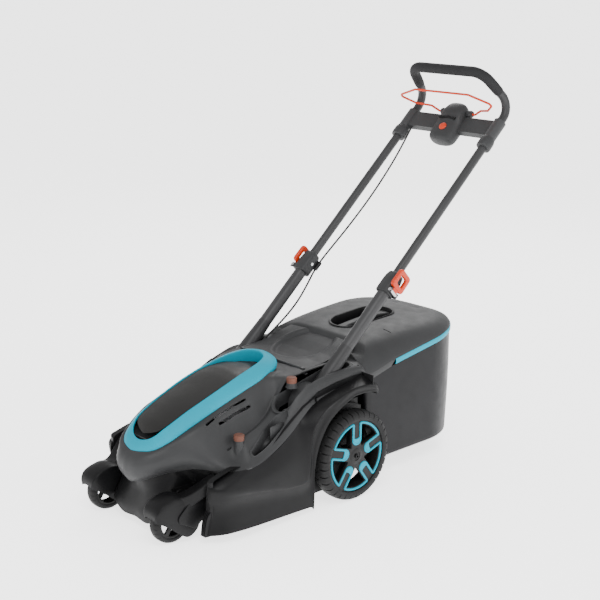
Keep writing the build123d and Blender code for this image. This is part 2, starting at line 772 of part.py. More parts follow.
with BuildPart() as bag_shell:
    add(bag_outer)
    add(bag_void, mode=Mode.SUBTRACT)
    with BuildSketch(Plane.YZ):
        add(shell_region)
    extrude(amount=300, both=True, mode=Mode.INTERSECT)
    span_box(-mouth_half_width, mouth_half_width, 10, 30, 58, 246, mode=Mode.SUBTRACT)
bag_shell.part.label = "bag_shell"
export_step(bag_shell.part, "parts/bag_shell.step")

bag_core = bag_form(trim_depth)
recess_half_width = 50.0
recess_front_y = 105.0
recess_rear_y = 300.0
recess_floor_z = 312.0
recess_depth = 40.0

with BuildPart() as bag_trim:
    add(bag_outer)
    add(bag_core, mode=Mode.SUBTRACT)
    with BuildSketch(Plane.YZ):
        add(band_region)
    extrude(amount=300, both=True, mode=Mode.INTERSECT)
bag_trim.part.label = "bag_trim"
export_step(bag_trim.part, "parts/bag_trim.step")

with BuildPart() as bag_lid:
    add(bag_outer)
    add(bag_void, mode=Mode.SUBTRACT)
    with BuildSketch(Plane.YZ):
        add(lid_region)
    extrude(amount=300, both=True, mode=Mode.INTERSECT)
    add(bag_trim.part, mode=Mode.SUBTRACT)
    with BuildSketch(Plane.XY.offset(340)):
        with Locations((0, (recess_front_y + recess_rear_y) / 2)):
            SlotOverall(recess_rear_y - recess_front_y, 2 * recess_half_width, rotation=90)
    extrude(amount=100, mode=Mode.SUBTRACT)
bag_lid.part.label = "bag_lid"
export_step(bag_lid.part, "parts/bag_lid.step")

with BuildPart() as bag_handle:
    with BuildSketch(Plane.XY.offset(recess_floor_z)):
        with Locations((0, (recess_front_y + recess_rear_y) / 2)):
            SlotOverall(recess_rear_y - recess_front_y, 2 * recess_half_width, rotation=90)
    extrude(amount=recess_depth)
    with BuildSketch(Plane.XY.offset(recess_floor_z + 3)):
        with Locations((0, (recess_front_y + recess_rear_y) / 2)):
            SlotOverall(recess_rear_y - recess_front_y - 8, 2 * recess_half_width - 8, rotation=90)
    extrude(amount=60, mode=Mode.SUBTRACT)
    span_box(-10, 10, recess_front_y + 2, recess_rear_y - 2, recess_floor_z + recess_depth - 12,
             recess_floor_z + recess_depth)
bag_handle.part.label = "bag_handle"
export_step(bag_handle.part, "parts/bag_handle.step")

# ---- lower handle ----------------------------------------------------------
collar_half_width = 19.2
collar_over = 18.5
collar_under = 19.5
knuckle_half_width = 12.1
knuckle_radius = 12.5
bolt_radius = 4.0
lever_pin_at = 350.0
lever_pin_x = 26.0
lever_pin_radius = 2.5


def along_box(x, x0, x1, y0, y1, s0, s1, mode=Mode.ADD):
    """A block set square to the handle at lateral offset x, between two distances up the tube."""
    with Locations(handle_plane(x, (s0 + s1) / 2)):
        with Locations(((x0 + x1) / 2, (y0 + y1) / 2, 0)):
            Box(abs(x1 - x0), y1 - y0, s1 - s0, mode=mode)


def along_rod(x, radius, s0, s1, mode=Mode.ADD):
    """A round bar on the handle's axis."""
    with Locations(handle_plane(x, (s0 + s1) / 2)):
        Cylinder(radius, s1 - s0, mode=mode)


def cross_rod(x, radius, x0, x1, y, s, mode=Mode.ADD):
    """A round bar along X, placed in the handle's own frame."""
    with Locations(handle_plane(x, s)):
        with Locations(((x0 + x1) / 2, y, 0)):
            Cylinder(radius, abs(x1 - x0), rotation=(0, 90, 0), mode=mode)


for name, side in SIDES:
    x = side * handle_x

    with BuildPart() as handle_foot:
        rod_x(foot_radius, x - foot_width / 2, x + foot_width / 2, pivot_y, pivot_z)
        along_rod(x, lower_tube_radius + 3, 0, 72)
        along_rod(x, lower_tube_radius, 22, 80, mode=Mode.SUBTRACT)
        rod_x(pivot_pin_radius + running_gap, x - 40, x + 40, pivot_y, pivot_z, mode=Mode.SUBTRACT)
    handle_foot.part.label = f"handle_foot_{name}"
    export_step(handle_foot.part, f"parts/handle_foot_{name}.step")

    with BuildPart() as lower_tube:
        along_rod(x, lower_tube_radius, 22, lower_tube_end)
        along_rod(x, lower_tube_radius - tube_wall, 22, lower_tube_end, mode=Mode.SUBTRACT)
    lower_tube.part.label = f"lower_tube_{name}"
    export_step(lower_tube.part, f"parts/lower_tube_{name}.step")

    with BuildPart() as clamp_collar:
        along_box(x, -collar_half_width, collar_half_width, -collar_over, collar_under, collar_start,
                  collar_end)
        along_rod(x, lower_tube_radius, collar_start - 5, lower_tube_end, mode=Mode.SUBTRACT)
        along_box(x, -knuckle_half_width - 0.3, knuckle_half_width + 0.3, -collar_over - 5, 14,
                  lower_tube_end, collar_end + 5, mode=Mode.SUBTRACT)
        cross_rod(x, bolt_radius, -60, 60, 0, fold_at, mode=Mode.SUBTRACT)
        for lug_y in (-16, 12.5):
            along_box(x, side * collar_half_width, side * (lever_pin_x + 5), lug_y, lug_y + 3.5,
                      lever_pin_at - 6, lever_pin_at + 6)
        with Locations(handle_plane(x, lever_pin_at)):
            with Locations((side * lever_pin_x, 0, 0)):
                Cylinder(lever_pin_radius + running_gap, 40, rotation=(90, 0, 0), mode=Mode.SUBTRACT)
        if side < 0:
            along_box(x, collar_half_width, collar_half_width + 9, 9, 23, collar_end - 26, collar_end)
            along_box(x, collar_half_width - 4, collar_half_width + 1, 9, 19, collar_end - 26, collar_end)
            with Locations(handle_plane(x, collar_end - 13)):
                with Locations((22, 16, 0)):
                    Cylinder(3.3, 40, mode=Mode.SUBTRACT)
    clamp_collar.part.label = f"clamp_collar_{name}"
    export_step(clamp_collar.part, f"parts/clamp_collar_{name}.step")

    lever_face = Plane(origin=handle_point(x + side * 22.0, 0), x_dir=handle_plane(x, 0).z_dir,
                       z_dir=(side, 0, 0))
    with BuildPart() as cam_lever:
        with BuildSketch(lever_face):
            with Locations((lever_pin_at + 36, 0)):
                RectangleRounded(52, 50, 14)
                Circle(12, mode=Mode.SUBTRACT)
            with Locations((lever_pin_at + 6, 0)):
                Rectangle(14, 23)
        extrude(amount=8)
        with Locations(handle_plane(x, lever_pin_at)):
            with Locations((side * lever_pin_x, 0, 0)):
                Cylinder(4, 24, rotation=(90, 0, 0))
                Cylinder(lever_pin_radius, 32, rotation=(90, 0, 0))
    cam_lever.part.label = f"cam_lever_{name}"
    export_step(cam_lever.part, f"parts/cam_lever_{name}.step")

with BuildPart() as fold_bolts:
    for name, side in SIDES:
        cross_rod(side * handle_x, bolt_radius, -21, 21, 0, fold_at)
fold_bolts.part.label = "fold_bolts"
export_step(fold_bolts.part, "parts/fold_bolts.step")

# ---- upper handle ----------------------------------------------------------
bend_corner = handle_point(handle_x, 985)
grip_corner = (122, 505, 990)
bend_radius = 42.0
knuckle_plug_end = 440.0
upper_tube_start = 386.0


def mirrored_path(points):
    """Continue a path given at positive X over to negative X."""
    return points + [(-x, y, z) for x, y, z in reversed(points)]


with BuildPart() as fold_knuckles:
    for name, side in SIDES:
        x = side * handle_x
        cross_rod(x, knuckle_radius, -knuckle_half_width, knuckle_half_width, 0, fold_at)
        along_rod(x, upper_tube_radius, fold_at, upper_tube_start)
        along_rod(x, upper_tube_radius - tube_wall, fold_at, knuckle_plug_end)
        cross_rod(x, bolt_radius + running_gap, -30, 30, 0, fold_at, mode=Mode.SUBTRACT)
fold_knuckles.part.label = "fold_knuckles"
export_step(fold_knuckles.part, "parts/fold_knuckles.step")

with BuildPart() as upper_tube:
    with BuildLine() as tube_path:
        FilletPolyline(
            *mirrored_path([handle_point(handle_x, upper_tube_start), bend_corner, grip_corner]),
            radius=bend_radius,
        )
    with BuildSketch(handle_plane(handle_x, upper_tube_start)):
        Circle(upper_tube_radius)
        Circle(upper_tube_radius - tube_wall, mode=Mode.SUBTRACT)
    sweep()
upper_tube.part.label = "upper_tube"
export_step(upper_tube.part, "parts/upper_tube.step")

foam_start = Vector(*bend_corner) + (Vector(*grip_corner) - Vector(*bend_corner)) * 0.4
foam_radius = 14.0

with BuildPart() as grip_foam:
    with BuildLine() as foam_path:
        FilletPolyline(*mirrored_path([tuple(foam_start), grip_corner]), radius=bend_radius)
    with BuildSketch(Plane(origin=foam_start, z_dir=Vector(*grip_corner) - foam_start)):
        Circle(foam_radius)
        Circle(upper_tube_radius, mode=Mode.SUBTRACT)
    sweep()
grip_foam.part.label = "grip_foam"
export_step(grip_foam.part, "parts/grip_foam.step")

bar_low = crossbar_at - 25
bar_high = crossbar_at + 25
bar_half_depth = 9.0

with BuildPart() as crossbar:
    along_box(0, -handle_x, handle_x, -bar_half_depth, bar_half_depth, bar_low, bar_high)
    for name, side in SIDES:
        along_rod(side * handle_x, upper_tube_radius + 5, bracket_start, bar_high + 4)
        along_rod(side * handle_x, upper_tube_radius, bracket_start, bar_high + 4, mode=Mode.SUBTRACT)
    along_box(0, -40, 40, -bar_half_depth - 1, bar_half_depth + 1, bar_low + 12, bar_high - 12,
              mode=Mode.SUBTRACT)
crossbar.part.label = "crossbar"
export_step(crossbar.part, "parts/crossbar.step")

housing_low = 836.0
housing_high = 958.0
housing_half_width = 42.0
housing_over = 24.0
housing_under = 21.0
bail_pivot_at = 936.0
bail_pivot_over = 6.0
bail_radius = 3.0
button_at = 872.0
button_radius = 6.0

with BuildPart() as control_housing:
    along_box(0, -housing_half_width, housing_half_width, -housing_over, housing_under, housing_low,
              housing_high)
    fillet(control_housing.edges(), 9)
    along_box(0, -housing_half_width + 4, housing_half_width - 4, -housing_over + 4, housing_under - 4,
              housing_low + 4, housing_high - 4, mode=Mode.SUBTRACT)
    along_box(0, -handle_x, handle_x, -bar_half_depth, bar_half_depth, bar_low, bar_high,
              mode=Mode.SUBTRACT)
    cross_rod(0, bail_radius + running_gap, -60, 60, -bail_pivot_over, bail_pivot_at, mode=Mode.SUBTRACT)
    with Locations(handle_plane(0, button_at)):
        with Locations((0, -housing_over, 0)):
            Cylinder(button_radius + 0.3, 16, rotation=(90, 0, 0), mode=Mode.SUBTRACT)
control_housing.part.label = "control_housing"
export_step(control_housing.part, "parts/control_housing.step")

with BuildPart() as start_button:
    with Locations(handle_plane(0, button_at)):
        with Locations((0, -housing_over + 2, 0)):
            Cylinder(button_radius, 10, rotation=(90, 0, 0))
        with Locations((0, -housing_over + 5.5, 0)):
            Cylinder(button_radius + 3, 2, rotation=(90, 0, 0))
start_button.part.label = "start_button"
export_step(start_button.part, "parts/start_button.step")


def over_handle(x, along, over):
    """A point at a distance up the handle and a height over its axis plane."""
    a = radians(handle_angle)
    return (x, pivot_y + along * cos(a) - over * sin(a), pivot_z + along * sin(a) + over * cos(a))


bail_route = [
    over_handle(30, bail_pivot_at, bail_pivot_over),
    over_handle(62, bail_pivot_at, bail_pivot_over),
    over_handle(86, bail_pivot_at + 4, bail_pivot_over + 14),
    over_handle(126, bail_pivot_at - 8, 38),
    over_handle(163, bail_pivot_at - 16, 72),
    over_handle(92, bail_pivot_at - 12, 98),
]

with BuildPart() as bail:
    with BuildLine() as bail_path:
        FilletPolyline(*mirrored_path(bail_route), radius=9)
    with BuildSketch(Plane(origin=bail_route[0], z_dir=(1, 0, 0))):
        Circle(bail_radius)
    sweep()
bail.part.label = "bail"
export_step(bail.part, "parts/bail.step")

# ---- control cable along the right tube ------------------------------------
cable_radius = 2.6
cable_x = -handle_x + 22
upper_cable_route = [
    over_handle(cable_x, bar_low - 0.4, -4),
    over_handle(cable_x + 2, 812, -13),
    over_handle(cable_x + 5, 752, -18),
    over_handle(cable_x + 7, 692, -20.5),
    over_handle(cable_x + 8, 632, -21.5),
    over_handle(cable_x + 7.5, 572, -21),
    over_handle(cable_x + 6, 512, -19.5),
    over_handle(cable_x + 3, 455, -17.5),
    over_handle(cable_x, 404.2, -16),
]
lower_cable_route = [
    over_handle(cable_x, 403.8, -16),
    over_handle(cable_x, 365, -17),
    over_handle(cable_x + 1, 322, -25),
    over_handle(cable_x + 2, 272, -31),
    over_handle(cable_x + 1, 218, -29),
    over_handle(cable_x - 1, 165, -21),
    over_handle(cable_x - 4, 118, -14),
    over_handle(cable_x - 5, 82, -12),
]


def cable_radii(route):
    """Bend radius at each inner point of a route, from its shorter run and its turn."""
    radii = []
    for before, here, after in zip(route, route[1:], route[2:]):
        run_in = Vector(*here) - Vector(*before)
        run_out = Vector(*after) - Vector(*here)
        half_turn = radians(run_in.get_angle(run_out) / 2)
        radii.append(0.45 * min(run_in.length, run_out.length) / tan(half_turn))
    return radii


for cable_name, route in (("cable_upper", upper_cable_route), ("cable_lower", lower_cable_route)):
    radii = cable_radii(route)
    with BuildPart() as cable:
        with BuildLine() as cable_path:
            FilletPolyline(*route, radius=radii)
        with BuildSketch(Plane(origin=route[0], z_dir=Vector(*route[1]) - Vector(*route[0]))):
            Circle(cable_radius)
        sweep()
    print(cable_name, "length", round(cable_path.wires()[0].length), "radii", [round(r) for r in radii])
    cable.part.label = cable_name
    export_step(cable.part, f"parts/{cable_name}.step")
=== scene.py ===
import json
from math import asin, atan2, cos, degrees, pi, radians, sin, sqrt, tan

import bmesh
import bpy
import numpy as np
from mathutils import Matrix, Vector
from mathutils.bvhtree import BVHTree


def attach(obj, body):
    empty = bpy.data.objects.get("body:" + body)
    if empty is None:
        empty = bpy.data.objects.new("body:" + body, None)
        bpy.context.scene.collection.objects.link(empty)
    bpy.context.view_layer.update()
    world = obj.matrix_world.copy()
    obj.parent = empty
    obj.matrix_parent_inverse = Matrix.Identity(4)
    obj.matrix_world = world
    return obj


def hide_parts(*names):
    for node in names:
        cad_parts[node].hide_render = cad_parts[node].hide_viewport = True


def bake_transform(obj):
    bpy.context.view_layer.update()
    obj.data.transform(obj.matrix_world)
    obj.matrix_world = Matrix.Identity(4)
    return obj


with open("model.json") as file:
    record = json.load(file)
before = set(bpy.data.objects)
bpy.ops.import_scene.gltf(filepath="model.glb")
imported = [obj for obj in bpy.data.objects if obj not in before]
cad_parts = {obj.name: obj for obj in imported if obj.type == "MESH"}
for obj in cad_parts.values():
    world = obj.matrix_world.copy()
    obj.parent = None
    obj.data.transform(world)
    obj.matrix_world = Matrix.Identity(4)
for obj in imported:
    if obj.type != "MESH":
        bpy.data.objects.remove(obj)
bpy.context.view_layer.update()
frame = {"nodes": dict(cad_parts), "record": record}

# Cordless rotary mower. Shapes are worked out in millimetres and made in metres, in the frame of the CAD.
MM = 0.001
SIDES = (("left", 1), ("right", -1))
joints = {joint["name"]: joint for joint in frame["record"]["behaviour"]["joints"]}


# ---- camera, floor and light ----------------------------------------------
def place_in_scene(name, data):
    """A new object for a mesh, curve, lamp or camera."""
    holder = bpy.data.objects.new(name, data)
    bpy.context.collection.objects.link(holder)
    return holder


def make_camera():
    """The photograph's view: from the front left, a little above the handle."""
    camera = place_in_scene("view_camera", bpy.data.cameras.new("view_camera"))
    camera.data.lens = 74.59
    camera.data.sensor_width = 36.0
    camera.data.clip_end = 200.0
    right = Vector((0.68480, 0.72866, 0.00995))
    up = Vector((-0.19714, 0.17210, 0.96515))
    forward = Vector((-0.70155, 0.66290, -0.26151))
    turn = Matrix((right, up, -forward)).transposed().to_4x4()
    camera.matrix_world = Matrix.Translation((2.17964, -2.08175, 1.25936)) @ turn
    bpy.context.scene.camera = camera


def area_light(name, place, target, size, power):
    """A round soft lamp that faces a target."""
    light = bpy.data.lights.new(name, "AREA")
    light.shape = "DISK"
    light.size = size
    light.energy = power
    lamp = place_in_scene(name, light)
    lamp.location = place
    lamp.rotation_euler = (Vector(target) - Vector(place)).to_track_quat("-Z", "Y").to_euler()


def make_stage():
    """Pale floor, white surroundings and three soft lights."""
    world = bpy.data.worlds.new("studio")
    bpy.context.scene.world = world
    world.use_nodes = True
    world.node_tree.nodes["Background"].inputs["Color"].default_value = (1.0, 1.0, 1.0, 1.0)
    world.node_tree.nodes["Background"].inputs["Strength"].default_value = 1.15
    area_light("key", (1.6, -1.3, 2.9), (0.0, -0.1, 0.3), 1.6, 55.0)
    area_light("side", (3.0, 0.6, 1.2), (0.0, 0.0, 0.3), 1.5, 22.0)
    area_light("back", (-1.6, 2.2, 2.4), (0.0, 0.1, 0.4), 1.6, 35.0)
    mesh = bpy.data.meshes.new("floor")
    reach = 80.0
    mesh.from_pydata([(-reach, -reach, 0), (reach, -reach, 0), (reach, reach, 0), (-reach, reach, 0)], [],
                     [(0, 1, 2, 3)])
    floor = place_in_scene("floor", mesh)
    paint = bpy.data.materials.new("floor_paint")
    paint.use_nodes = True
    shader = paint.node_tree.nodes["Principled BSDF"]
    shader.inputs["Base Color"].default_value = (0.93, 0.93, 0.93, 1.0)
    shader.inputs["Roughness"].default_value = 0.9
    shader.inputs["Emission Color"].default_value = (1.0, 1.0, 1.0, 1.0)
    shader.inputs["Emission Strength"].default_value = 2.2
    mesh.materials.append(paint)


# ---- materials --------------------------------------------------------------
def finish(name, colour, rough, grain=1400.0, bump=0.12, vary=0.12, metal=0.0, wear=0.0, coat=0.0,
           speckle=None, shine=0.22):
    """Procedural finish: uneven colour, a fine moulded or painted grain, and rubbed edges."""
    material = bpy.data.materials.new(name)
    material.use_nodes = True
    tree = material.node_tree
    shader = tree.nodes["Principled BSDF"]
    shader.inputs["Metallic"].default_value = metal
    shader.inputs["Coat Weight"].default_value = coat
    shader.inputs["Specular IOR Level"].default_value = shine
    place = tree.nodes.new("ShaderNodeTexCoord")

    def noise(scale, detail):
        node = tree.nodes.new("ShaderNodeTexNoise")
        node.inputs["Scale"].default_value = scale
        node.inputs["Detail"].default_value = detail
        tree.links.new(place.outputs["Object"], node.inputs["Vector"])
        return node.outputs["Fac"]

    def spread(value, low, high):
        node = tree.nodes.new("ShaderNodeMapRange")
        node.inputs["From Min"].default_value = 0.3
        node.inputs["From Max"].default_value = 0.7
        node.inputs["To Min"].default_value = low
        node.inputs["To Max"].default_value = high
        tree.links.new(value, node.inputs["Value"])
        return node.outputs["Result"]

    def blend(factor, first, second):
        node = tree.nodes.new("ShaderNodeMix")
        node.data_type = "RGBA"
        tree.links.new(factor, node.inputs["Factor"])
        for socket, value in ((node.inputs[6], first), (node.inputs[7], second)):
            if isinstance(value, bpy.types.NodeSocket):
                tree.links.new(value, socket)
            else:
                socket.default_value = (*value, 1.0)
        return node.outputs[2]

    dark = tuple(c * (1 - vary) for c in colour)
    light = tuple(min(1.0, c * (1 + vary)) for c in colour)
    tone = blend(spread(noise(9.0, 4.0), 0.0, 1.0), dark, light)
    if speckle:
        tone = blend(spread(noise(grain, 2.0), 0.0, 1.0), tone, speckle)
    if wear:
        geometry = tree.nodes.new("ShaderNodeNewGeometry")
        edge = tree.nodes.new("ShaderNodeMapRange")
        edge.inputs["From Min"].default_value = 0.53
        edge.inputs["From Max"].default_value = 0.62
        edge.inputs["To Max"].default_value = wear
        tree.links.new(geometry.outputs["Pointiness"], edge.inputs["Value"])
        tone = blend(edge.outputs["Result"], tone, tuple(min(1.0, c * 1.9 + 0.008) for c in colour))
    tree.links.new(tone, shader.inputs["Base Color"])
    tree.links.new(spread(noise(35.0, 5.0), rough - 0.05, rough + 0.06), shader.inputs["Roughness"])
    relief = tree.nodes.new("ShaderNodeBump")
    relief.inputs["Strength"].default_value = bump
    relief.inputs["Distance"].default_value = 0.0004
    tree.links.new(noise(grain, 3.0), relief.inputs["Height"])
    tree.links.new(relief.outputs["Normal"], shader.inputs["Normal"])
    return material


FINISH = {
    "deck_plastic": finish("deck_plastic", (0.005, 0.005, 0.0054), 0.42, bump=0.2, wear=0.35,
                           shine=0.14),
    "hood_plastic": finish("hood_plastic", (0.026, 0.0265, 0.0275), 0.48, bump=0.25, wear=0.3),
    "lid_plastic": finish("lid_plastic", (0.015, 0.0145, 0.014), 0.42, bump=0.2, wear=0.2, shine=0.15),
    "teal_plastic": finish("teal_plastic", (0.0, 0.26, 0.36), 0.42, bump=0.05, vary=0.05, shine=0.05),
    "orange_plastic": finish("orange_plastic", (0.50, 0.030, 0.004), 0.40, bump=0.08, vary=0.07, coat=0.15),
    "orange_wire": finish("orange_wire", (0.48, 0.030, 0.005), 0.42, grain=900, bump=0.25, vary=0.08),
    "cap_rubber": finish("cap_rubber", (0.115, 0.045, 0.030), 0.55, bump=0.35, vary=0.15),
    "tyre": finish("tyre", (0.009, 0.009, 0.0092), 0.62, grain=700, bump=0.5, vary=0.2, wear=0.5, shine=0.15),
    "hub_plastic": finish("hub_plastic", (0.010, 0.010, 0.010), 0.45, bump=0.2, wear=0.3, shine=0.15),
    "bag_plastic": finish("bag_plastic", (0.005, 0.005, 0.006), 0.40, grain=600, bump=0.15, vary=0.15,
                          shine=0.12),
    "handle_tube": finish("handle_tube", (0.030, 0.030, 0.031), 0.42, grain=1100, bump=0.18, metal=0.25,
                          wear=0.3),
    "steel": finish("steel", (0.52, 0.52, 0.53), 0.30, grain=500, bump=0.1, metal=1.0),
    "blade_steel": finish("blade_steel", (0.06, 0.06, 0.062), 0.35, grain=500, bump=0.3, metal=0.6, wear=0.8),
    "alloy": finish("alloy", (0.55, 0.55, 0.57), 0.42, grain=800, bump=0.4, metal=1.0),
    "battery_plastic": finish("battery_plastic", (0.075, 0.075, 0.08), 0.5, bump=0.3),
    "board": finish("board", (0.02, 0.15, 0.06), 0.4, bump=0.1),
    "foam": finish("foam", (0.010, 0.010, 0.011), 0.78, grain=1600, bump=0.8, vary=0.25,
                   speckle=(0.016, 0.016, 0.017)),
    "cable": finish("cable", (0.022, 0.022, 0.022), 0.5, bump=0.15),
}


def paint_frame_nodes():
    """Every CAD node takes the finish of its own material slot, but the hinge rods are blackened steel."""
    for entry in frame["record"]["subparts"]:
        node = frame["nodes"][entry["node"]]
        node.data.materials.clear()
        blackened = entry["node"] == "hinge_rods"
        node.data.materials.append(FINISH["blade_steel" if blackened else entry["material_slot"]])


# ---- mesh helpers -----------------------------------------------------------
def smooth_line(points, steps, closed=False):
    """Catmull-Rom points through the given ones, along the first axis of the array."""
    p = np.asarray(points, float)
    if closed:
        p = np.concatenate([p[-1:], p, p[:2]])
    else:
        p = np.concatenate([2 * p[:1] - p[1:2], p, 2 * p[-1:] - p[-2:-1]])
    out = []
    for i in range(1, len(p) - 2):
        a, b, c, d = p[i - 1], p[i], p[i + 1], p[i + 2]
        for t in np.arange(steps) / steps:
            out.append(0.5 * (2 * b + (c - a) * t + (2 * a - 5 * b + 4 * c - d) * t ** 2
                              + (3 * b - a - 3 * c + d) * t ** 3))
    if not closed:
        out.append(p[-2])
    return np.array(out)


def patch(rows, along, across):
    """A fine grid of points from a coarse one: rows run along, each row's points run across."""
    fine = smooth_line(rows, along)
    return smooth_line(fine.transpose(1, 0, 2), across).transpose(1, 0, 2)


def object_from(name, verts, faces, slot, body):
    """A mesh object from millimetre points, with its finish, slot and body."""
    mesh = bpy.data.meshes.new(name)
    mesh.from_pydata([tuple(float(c) * MM for c in v) for v in verts], [], faces)
    return dress(place_in_scene(name, mesh), slot, body)


def dress(piece, slot, body):
    """Give a piece its finish, its slot and the body that it rides."""
    piece.data.materials.clear()
    piece.data.materials.append(FINISH[slot])
    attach(piece, body)
    return piece


def grid_faces(rows, columns, wrap_rows, wrap_columns):
    """Four-sided faces between neighbouring rows and columns, and past the last where it wraps."""
    faces = []
    for i in range(rows if wrap_rows else rows - 1):
        for j in range(columns if wrap_columns else columns - 1):
            k = (i + 1) % rows
            m = (j + 1) % columns
            faces.append((i * columns + j, i * columns + m, k * columns + m, k * columns + j))
    return faces


def grid_piece(name, grid, slot, body, wrap_rows=False, wrap_columns=False, mirror=False, caps=False):
    """A surface from a grid of points; with mirror, joined to its mirror image across X = 0."""
    grid = np.asarray(grid, float)
    rows, columns = grid.shape[:2]
    verts = grid.reshape(-1, 3)
    faces = grid_faces(rows, columns, wrap_rows, wrap_columns)
    if caps:
        faces.append(tuple(range(columns)))
        faces.append(tuple((rows - 1) * columns + j for j in reversed(range(columns))))
    if mirror:
        verts[:, 0] = np.maximum(verts[:, 0], 0)
        count = len(verts)
        verts = np.concatenate([verts, verts * (-1, 1, 1)])
        faces += [tuple(count + i for i in reversed(face)) for face in faces]
    piece = object_from(name, verts, faces, slot, body)
    tidy_mesh(piece)
    return piece


def tidy_mesh(piece, angle=38.0):
    """Merge doubles, turn the faces outwards, and shade smooth but for the sharp edges."""
    bm = bmesh.new()
    bm.from_mesh(piece.data)
    bmesh.ops.remove_doubles(bm, verts=bm.verts, dist=0.00004)
    bmesh.ops.dissolve_degenerate(bm, edges=bm.edges, dist=0.00001)
    bmesh.ops.recalc_face_normals(bm, faces=bm.faces)
    limit = radians(angle)
    for face in bm.faces:
        face.smooth = True
    for edge in bm.edges:
        edge.smooth = len(edge.link_faces) != 2 or edge.calc_face_angle(0.0) < limit
    bm.to_mesh(piece.data)
    bm.free()


def settle(piece):
    """Apply the piece's modifiers to its mesh."""
    graph = bpy.context.evaluated_depsgraph_get()
    mesh = bpy.data.meshes.new_from_object(piece.evaluated_get(graph))
    piece.modifiers.clear()
    piece.data = mesh
    tidy_mesh(piece)


def thicken(piece, depth, outward=-1.0):
    """Give a surface a wall depth in millimetres, on its inner side."""
    wall = piece.modifiers.new("wall", "SOLIDIFY")
    wall.thickness = depth * MM
    wall.offset = outward
    wall.use_even_offset = True
    wall.thickness_clamp = 1.0
    settle(piece)


def shape_with(piece, operation, *tools):
    """Combine closed tool meshes with the piece one after another, and remove the tools."""
    for tool in tools:
        step = piece.modifiers.new("step", "BOOLEAN")
        step.operation = operation
        step.solver = "FAST"
        step.object = tool
        settle(piece)
        bpy.data.objects.remove(tool)


def cut(piece, *tools):
    """Take closed tool meshes out of the piece."""
    shape_with(piece, "DIFFERENCE", *tools)


def box_outline(half_width, front, rear):
    """Plan outline of a rectangle across the middle plane."""
    return [(-half_width, front), (half_width, front), (half_width, rear), (-half_width, rear)]


def tool_prism(outline, low, high):
    """A closed cutting block with a plan outline, between two heights."""
    count = len(outline)
    verts = [(x, y, z) for z in (low, high) for x, y in outline]
    faces = [tuple(reversed(range(count))), tuple(range(count, 2 * count))]
    faces += [(i, (i + 1) % count, count + (i + 1) % count, count + i) for i in range(count)]
    mesh = bpy.data.meshes.new("tool")
    mesh.from_pydata([tuple(c * MM for c in v) for v in verts], [], faces)
    tool = place_in_scene("tool", mesh)
    tidy_mesh(tool)
    return tool


def arc(centre, radius, start, span, count):
    """Points of a circular arc in a plane, both ends included; angles in radians."""
    turns = [start + span * k / count for k in range(count + 1)]
    return [(centre[0] + radius * cos(turn), centre[1] + radius * sin(turn)) for turn in turns]


def circle(radius, count, centre=(0, 0)):
    """Closed round outline."""
    return arc(centre, radius, 0.0, 2 * pi, count)[:-1]


def rounded_slot(x, y0, y1, radius, count=16, turn=0.0):
    """Plan outline of a slot along Y with round ends, turned about its middle."""
    points = arc((0, y0 + radius), radius, pi, pi, count) + arc((0, y1 - radius), radius, 0, pi, count)
    mid = (y0 + y1) / 2
    c, s = cos(turn), sin(turn)
    return [(x + px * c - (py - mid) * s, mid + px * s + (py - mid) * c) for px, py in points]


def lathe(name, profile, centre, axis, slot, body, count=64, smooth=0):
    """A turned piece: profile of (radius, along) in millimetres, about an axis through a centre."""
    if smooth:
        profile = smooth_line(profile, smooth)
    axis = Vector(axis).normalized()
    side = axis.orthogonal().normalized()
    other = axis.cross(side)
    grid = []
    for radius, along in profile:
        middle = Vector(centre) + axis * along
        grid.append([middle + side * u + other * v for u, v in circle(max(radius, 0.01), count)])
    return grid_piece(name, grid, slot, body, wrap_columns=True, caps=True)


def sweep(name, path, section, slot, body, ups=(0, 0, 1), closed=False):
    """A section of (across, up) points carried along a path; section may change with a function of 0..1."""
    path = [Vector(p) for p in path]
    grid = []
    count = len(path)
    for i, here in enumerate(path):
        before = path[i - 1] if i or closed else path[0]
        after = path[(i + 1) % count] if i < count - 1 or closed else path[-1]
        ahead = (after - before).normalized()
        across = ahead.cross(Vector(ups)).normalized()
        up = across.cross(ahead)
        shape = section(i / (count - 1)) if callable(section) else section
        grid.append([here + across * u + up * v for u, v in shape])
    return grid_piece(name, grid, slot, body, wrap_rows=closed, wrap_columns=True, caps=not closed)


def rounded_box_section(half_width, low, high, radius, count=5):
    """A rounded rectangle as (across, up) points."""
    x, top, bottom = half_width - radius, high - radius, low + radius
    points = []
    for k, corner in enumerate(((x, top), (-x, top), (-x, bottom), (x, bottom))):
        points += arc(corner, radius, k * pi / 2, pi / 2, count)
    return points


def mesh_from_curve(name, curve):
    """The mesh that a curve shows, with the curve itself removed."""
    holder = place_in_scene(name + "_curve", curve)
    bpy.context.view_layer.update()
    mesh = bpy.data.meshes.new_from_object(holder.evaluated_get(bpy.context.evaluated_depsgraph_get()))
    bpy.data.objects.remove(holder)
    return mesh


def plate(name, loops, place, depth, bevel, slot, body, resolution=2):
    """A flat plate from closed outlines, the first outer and the rest holes, with rounded edges."""
    curve = bpy.data.curves.new(name, "CURVE")
    curve.dimensions = "2D"
    curve.fill_mode = "BOTH"
    curve.extrude = (depth / 2 - bevel) * MM
    curve.bevel_depth = bevel * MM
    curve.bevel_resolution = resolution
    curve.offset = -bevel * MM
    for loop in loops:
        spline = curve.splines.new("POLY")
        spline.points.add(len(loop) - 1)
        for point, (u, v) in zip(spline.points, loop):
            point.co = (u * MM, v * MM, 0, 1)
        spline.use_cyclic_u = True
    mesh = mesh_from_curve(name, curve)
    mesh.transform(place)
    piece = dress(place_in_scene(name, mesh), slot, body)
    tidy_mesh(piece, 50)
    return piece


